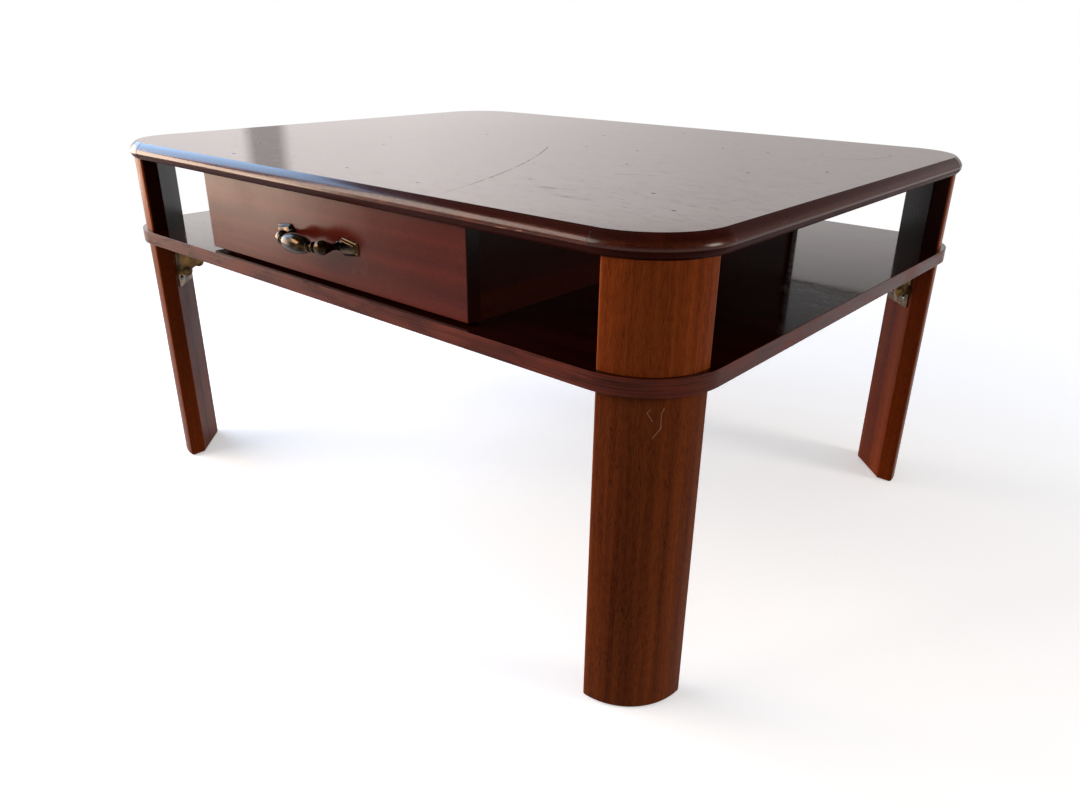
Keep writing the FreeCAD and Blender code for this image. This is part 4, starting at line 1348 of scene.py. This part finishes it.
@dataclass
class Studio:
    """Pale floor, plain soft light and the camera."""

    camera_place: Point = (0.82263, -0.93196, 0.64101)
    camera_turn: float = 0.71349        # radians left of +Y
    camera_drop: float = 0.41754        # radians below the horizon
    camera_roll: float = -0.01105
    camera_range: Span = (0.02, 100.0)
    lens_mm: float = 27.93
    sensor_mm: float = 36.0
    floor_size: float = 60.0
    floor_seen: str = "f0f2f8"
    floor_bounce: str = "6a625c"        # what lights the undersides, so that they stay deep
    floor_glow: float = 0.42            # lifts the floor to white without lighting the table
    floor_fade: Span = (0.9, 1.9)       # distance over which the floor turns into plain white
    sky: float = 0.34
    wall_colour: str = "fff8f6"         # full brightness of the walls in polished faces
    brightest: float = 1.5              # level that no stop of the two lists below passes
    # sine of the height above the horizon, and how bright polished faces show the room there
    ceiling: tuple[Span, ...] = (
        (0.0, 0.92), (0.1, 1.0), (0.19, 1.35), (0.33, 0.3), (0.6, 0.12), (1.0, 0.12))
    # radians left of +Y, and how bright the room is there: pale walls, a door post, a far corner
    walls: tuple[Span, ...] = (
        (-0.9, 0.35), (-0.4, 0.45), (-0.15, 0.6), (0.2, 0.62), (0.5, 0.72), (0.68, 0.9), (0.86, 1.12),
        (0.995, 1.15), (1.005, 0.5), (1.035, 0.5), (1.045, 1.2), (1.2, 1.15), (1.5, 1.1), (2.4, 0.7))
    lamps: tuple[Lamp, ...] = (
        Lamp("low_daylight", (-2.4, -1.05, 0.56), (0.0, -0.25, 0.35), (1.8, 1.06), 54.0, "ffe6cc"),
        Lamp("sky_window", (-3.0, -0.45, 1.85), (0.0, -0.1, 0.4), (1.8, 1.4), 54.0, "aed4ff"),
        Lamp("front_window", (-2.0, -2.5, 2.0), (0.1, 0.0, 0.4), (2.4, 1.4), 74.0, "fff3e6"),
        Lamp("door_pane", (-1.5, -1.27, 0.12), (-0.07, -0.375, 0.42), (0.26, 0.2), 1.6, "ffe6cc"),
        Lamp("right_window", (3.0, 0.9, 1.3), (0.0, 0.0, 0.4), (0.8, 1.0), 33.0, "fff3e6"))

    def build_camera(self) -> None:
        """Makes the camera from its place and three turns."""
        turn, drop, roll = self.camera_turn, self.camera_drop, self.camera_roll
        ahead = np.array([-math.sin(turn) * math.cos(drop), math.cos(turn) * math.cos(drop), -math.sin(drop)])
        right = np.cross(ahead, UP)
        right /= np.linalg.norm(right)
        down = np.cross(ahead, right)
        right, down = (math.cos(roll) * right + math.sin(roll) * down,
                       -math.sin(roll) * right + math.cos(roll) * down)
        data = bpy.data.cameras.new("camera")
        data.lens, data.sensor_width, data.sensor_fit = self.lens_mm, self.sensor_mm, "HORIZONTAL"
        data.clip_start, data.clip_end = self.camera_range
        bpy.context.scene.camera = linked("camera", data, [right, -down, -ahead], self.camera_place)

    def seen(self, paint: Paint) -> Socket:
        """1 for what is seen, straight or in a polished face or through glass, 0 for what only lights."""
        path = paint.add("LightPath").outputs
        rays = paint.math("ADD", path["Is Camera Ray"], path["Is Glossy Ray"])
        return paint.ranged(paint.math("ADD", rays, path["Is Transmission Ray"]), 0.0, 1.0)

    def build_floor(self) -> None:
        """Makes the floor: near white where it is seen, a middle tone for the light that it throws back.

        Round the table it takes the shadow, and further out it runs into the white of the surroundings.
        """
        mesh = bpy.data.meshes.new("floor")
        s = self.floor_size / 2
        mesh.from_pydata([(-s, -s, 0), (s, -s, 0), (s, s, 0), (-s, s, 0)], [], [(0, 1, 2, 3)])
        floor = linked("floor", mesh)
        material = bpy.data.materials.new("pale_floor")
        material.use_nodes = True
        paint = Paint(material.node_tree)
        seen = self.seen(paint)
        matt = paint.add("BsdfDiffuse", {"Color": paint.mixed(seen, linear(self.floor_bounce),
                                                              linear(self.floor_seen))})
        glow = paint.add("Emission", {"Color": WHITE, "Strength": paint.product(seen, self.floor_glow)})
        lit = paint.add("AddShader", {0: matt.outputs[0], 1: glow.outputs[0]})
        white = paint.add("Emission", {"Color": WHITE, "Strength": 1.0})
        far = paint.ranged(paint.vector("LENGTH", paint.place), *self.floor_fade)
        paint.close("Material", paint.add("MixShader", {0: paint.product(far, seen), 1: lit.outputs[0],
                                                        2: white.outputs[0]}))
        mesh.materials.append(material)

    def levels(self, paint: Paint, value: Socket, stops: Sequence[Span]) -> Socket:
        """Turns a value into a brightness that runs through given stops.

        Args:
            paint: Tree of the world.
            value: Output between 0 and 1.
            stops: Value and brightness of each stop, in order.

        Returns:
            The output of the brightness.
        """
        ramp = paint.add("ValToRGB", {"Fac": value})
        elements = ramp.color_ramp.elements
        elements[0].position, elements[1].position = stops[0][0], stops[1][0]
        for position, _ in stops[2:]:
            elements.new(position)
        for element, (_, level) in zip(elements, stops):
            element.color = (*[level / self.brightest] * 3, 1.0)
        return paint.product(ramp.outputs["Color"], self.brightest)

    def build_world(self) -> None:
        """Makes the surroundings: white to the camera and at the height of the horizon, where polished
        faces show them, with a dim ceiling over that, and one even light for everything else."""
        world = bpy.data.worlds.new("studio")
        world.use_nodes = True
        paint = Paint(world.node_tree, "Generated")
        left = paint.math("ARCTAN2", paint.product(paint.axis("X"), -1.0), paint.axis("Y"))
        low, high = self.walls[0][0], self.walls[-1][0]
        around = self.levels(paint, paint.ranged(left, low, high),
                             [((turn - low) / (high - low), level) for turn, level in self.walls])
        height = self.levels(paint, paint.axis("Z"), self.ceiling)
        room = paint.vector("SCALE", linear(self.wall_colour)[:3], paint.product(height, around), "Vector")
        shown = paint.mixed(paint.add("LightPath").outputs["Is Camera Ray"], room, WHITE)
        colour = paint.mixed(self.seen(paint), (self.sky, self.sky, self.sky, 1.0), shown)
        paint.close("World", paint.add("Background", {"Color": colour, "Strength": 1.0}))
        bpy.context.scene.world = world

    def build(self) -> None:
        """Makes the whole studio."""
        bpy.context.scene.view_settings.view_transform = "Standard"
        self.build_camera()
        self.build_floor()
        self.build_world()
        for lamp in self.lamps:
            lamp.build()


def main() -> None:
    """Dresses the table in the order that it is put together."""
    logging.basicConfig(level=logging.INFO, format="%(name)s: %(message)s")
    finishes = {name: finish.make() for name, finish in FINISHES.items()}
    dress_nodes(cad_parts, finishes)
    for group in (TopLipping(), ShelfBand(), CornerTimber(), BowHandle(), BracketMetalwork()):
        group.build(finishes)
    Studio().build()


if __name__ == "__main__":
    main()
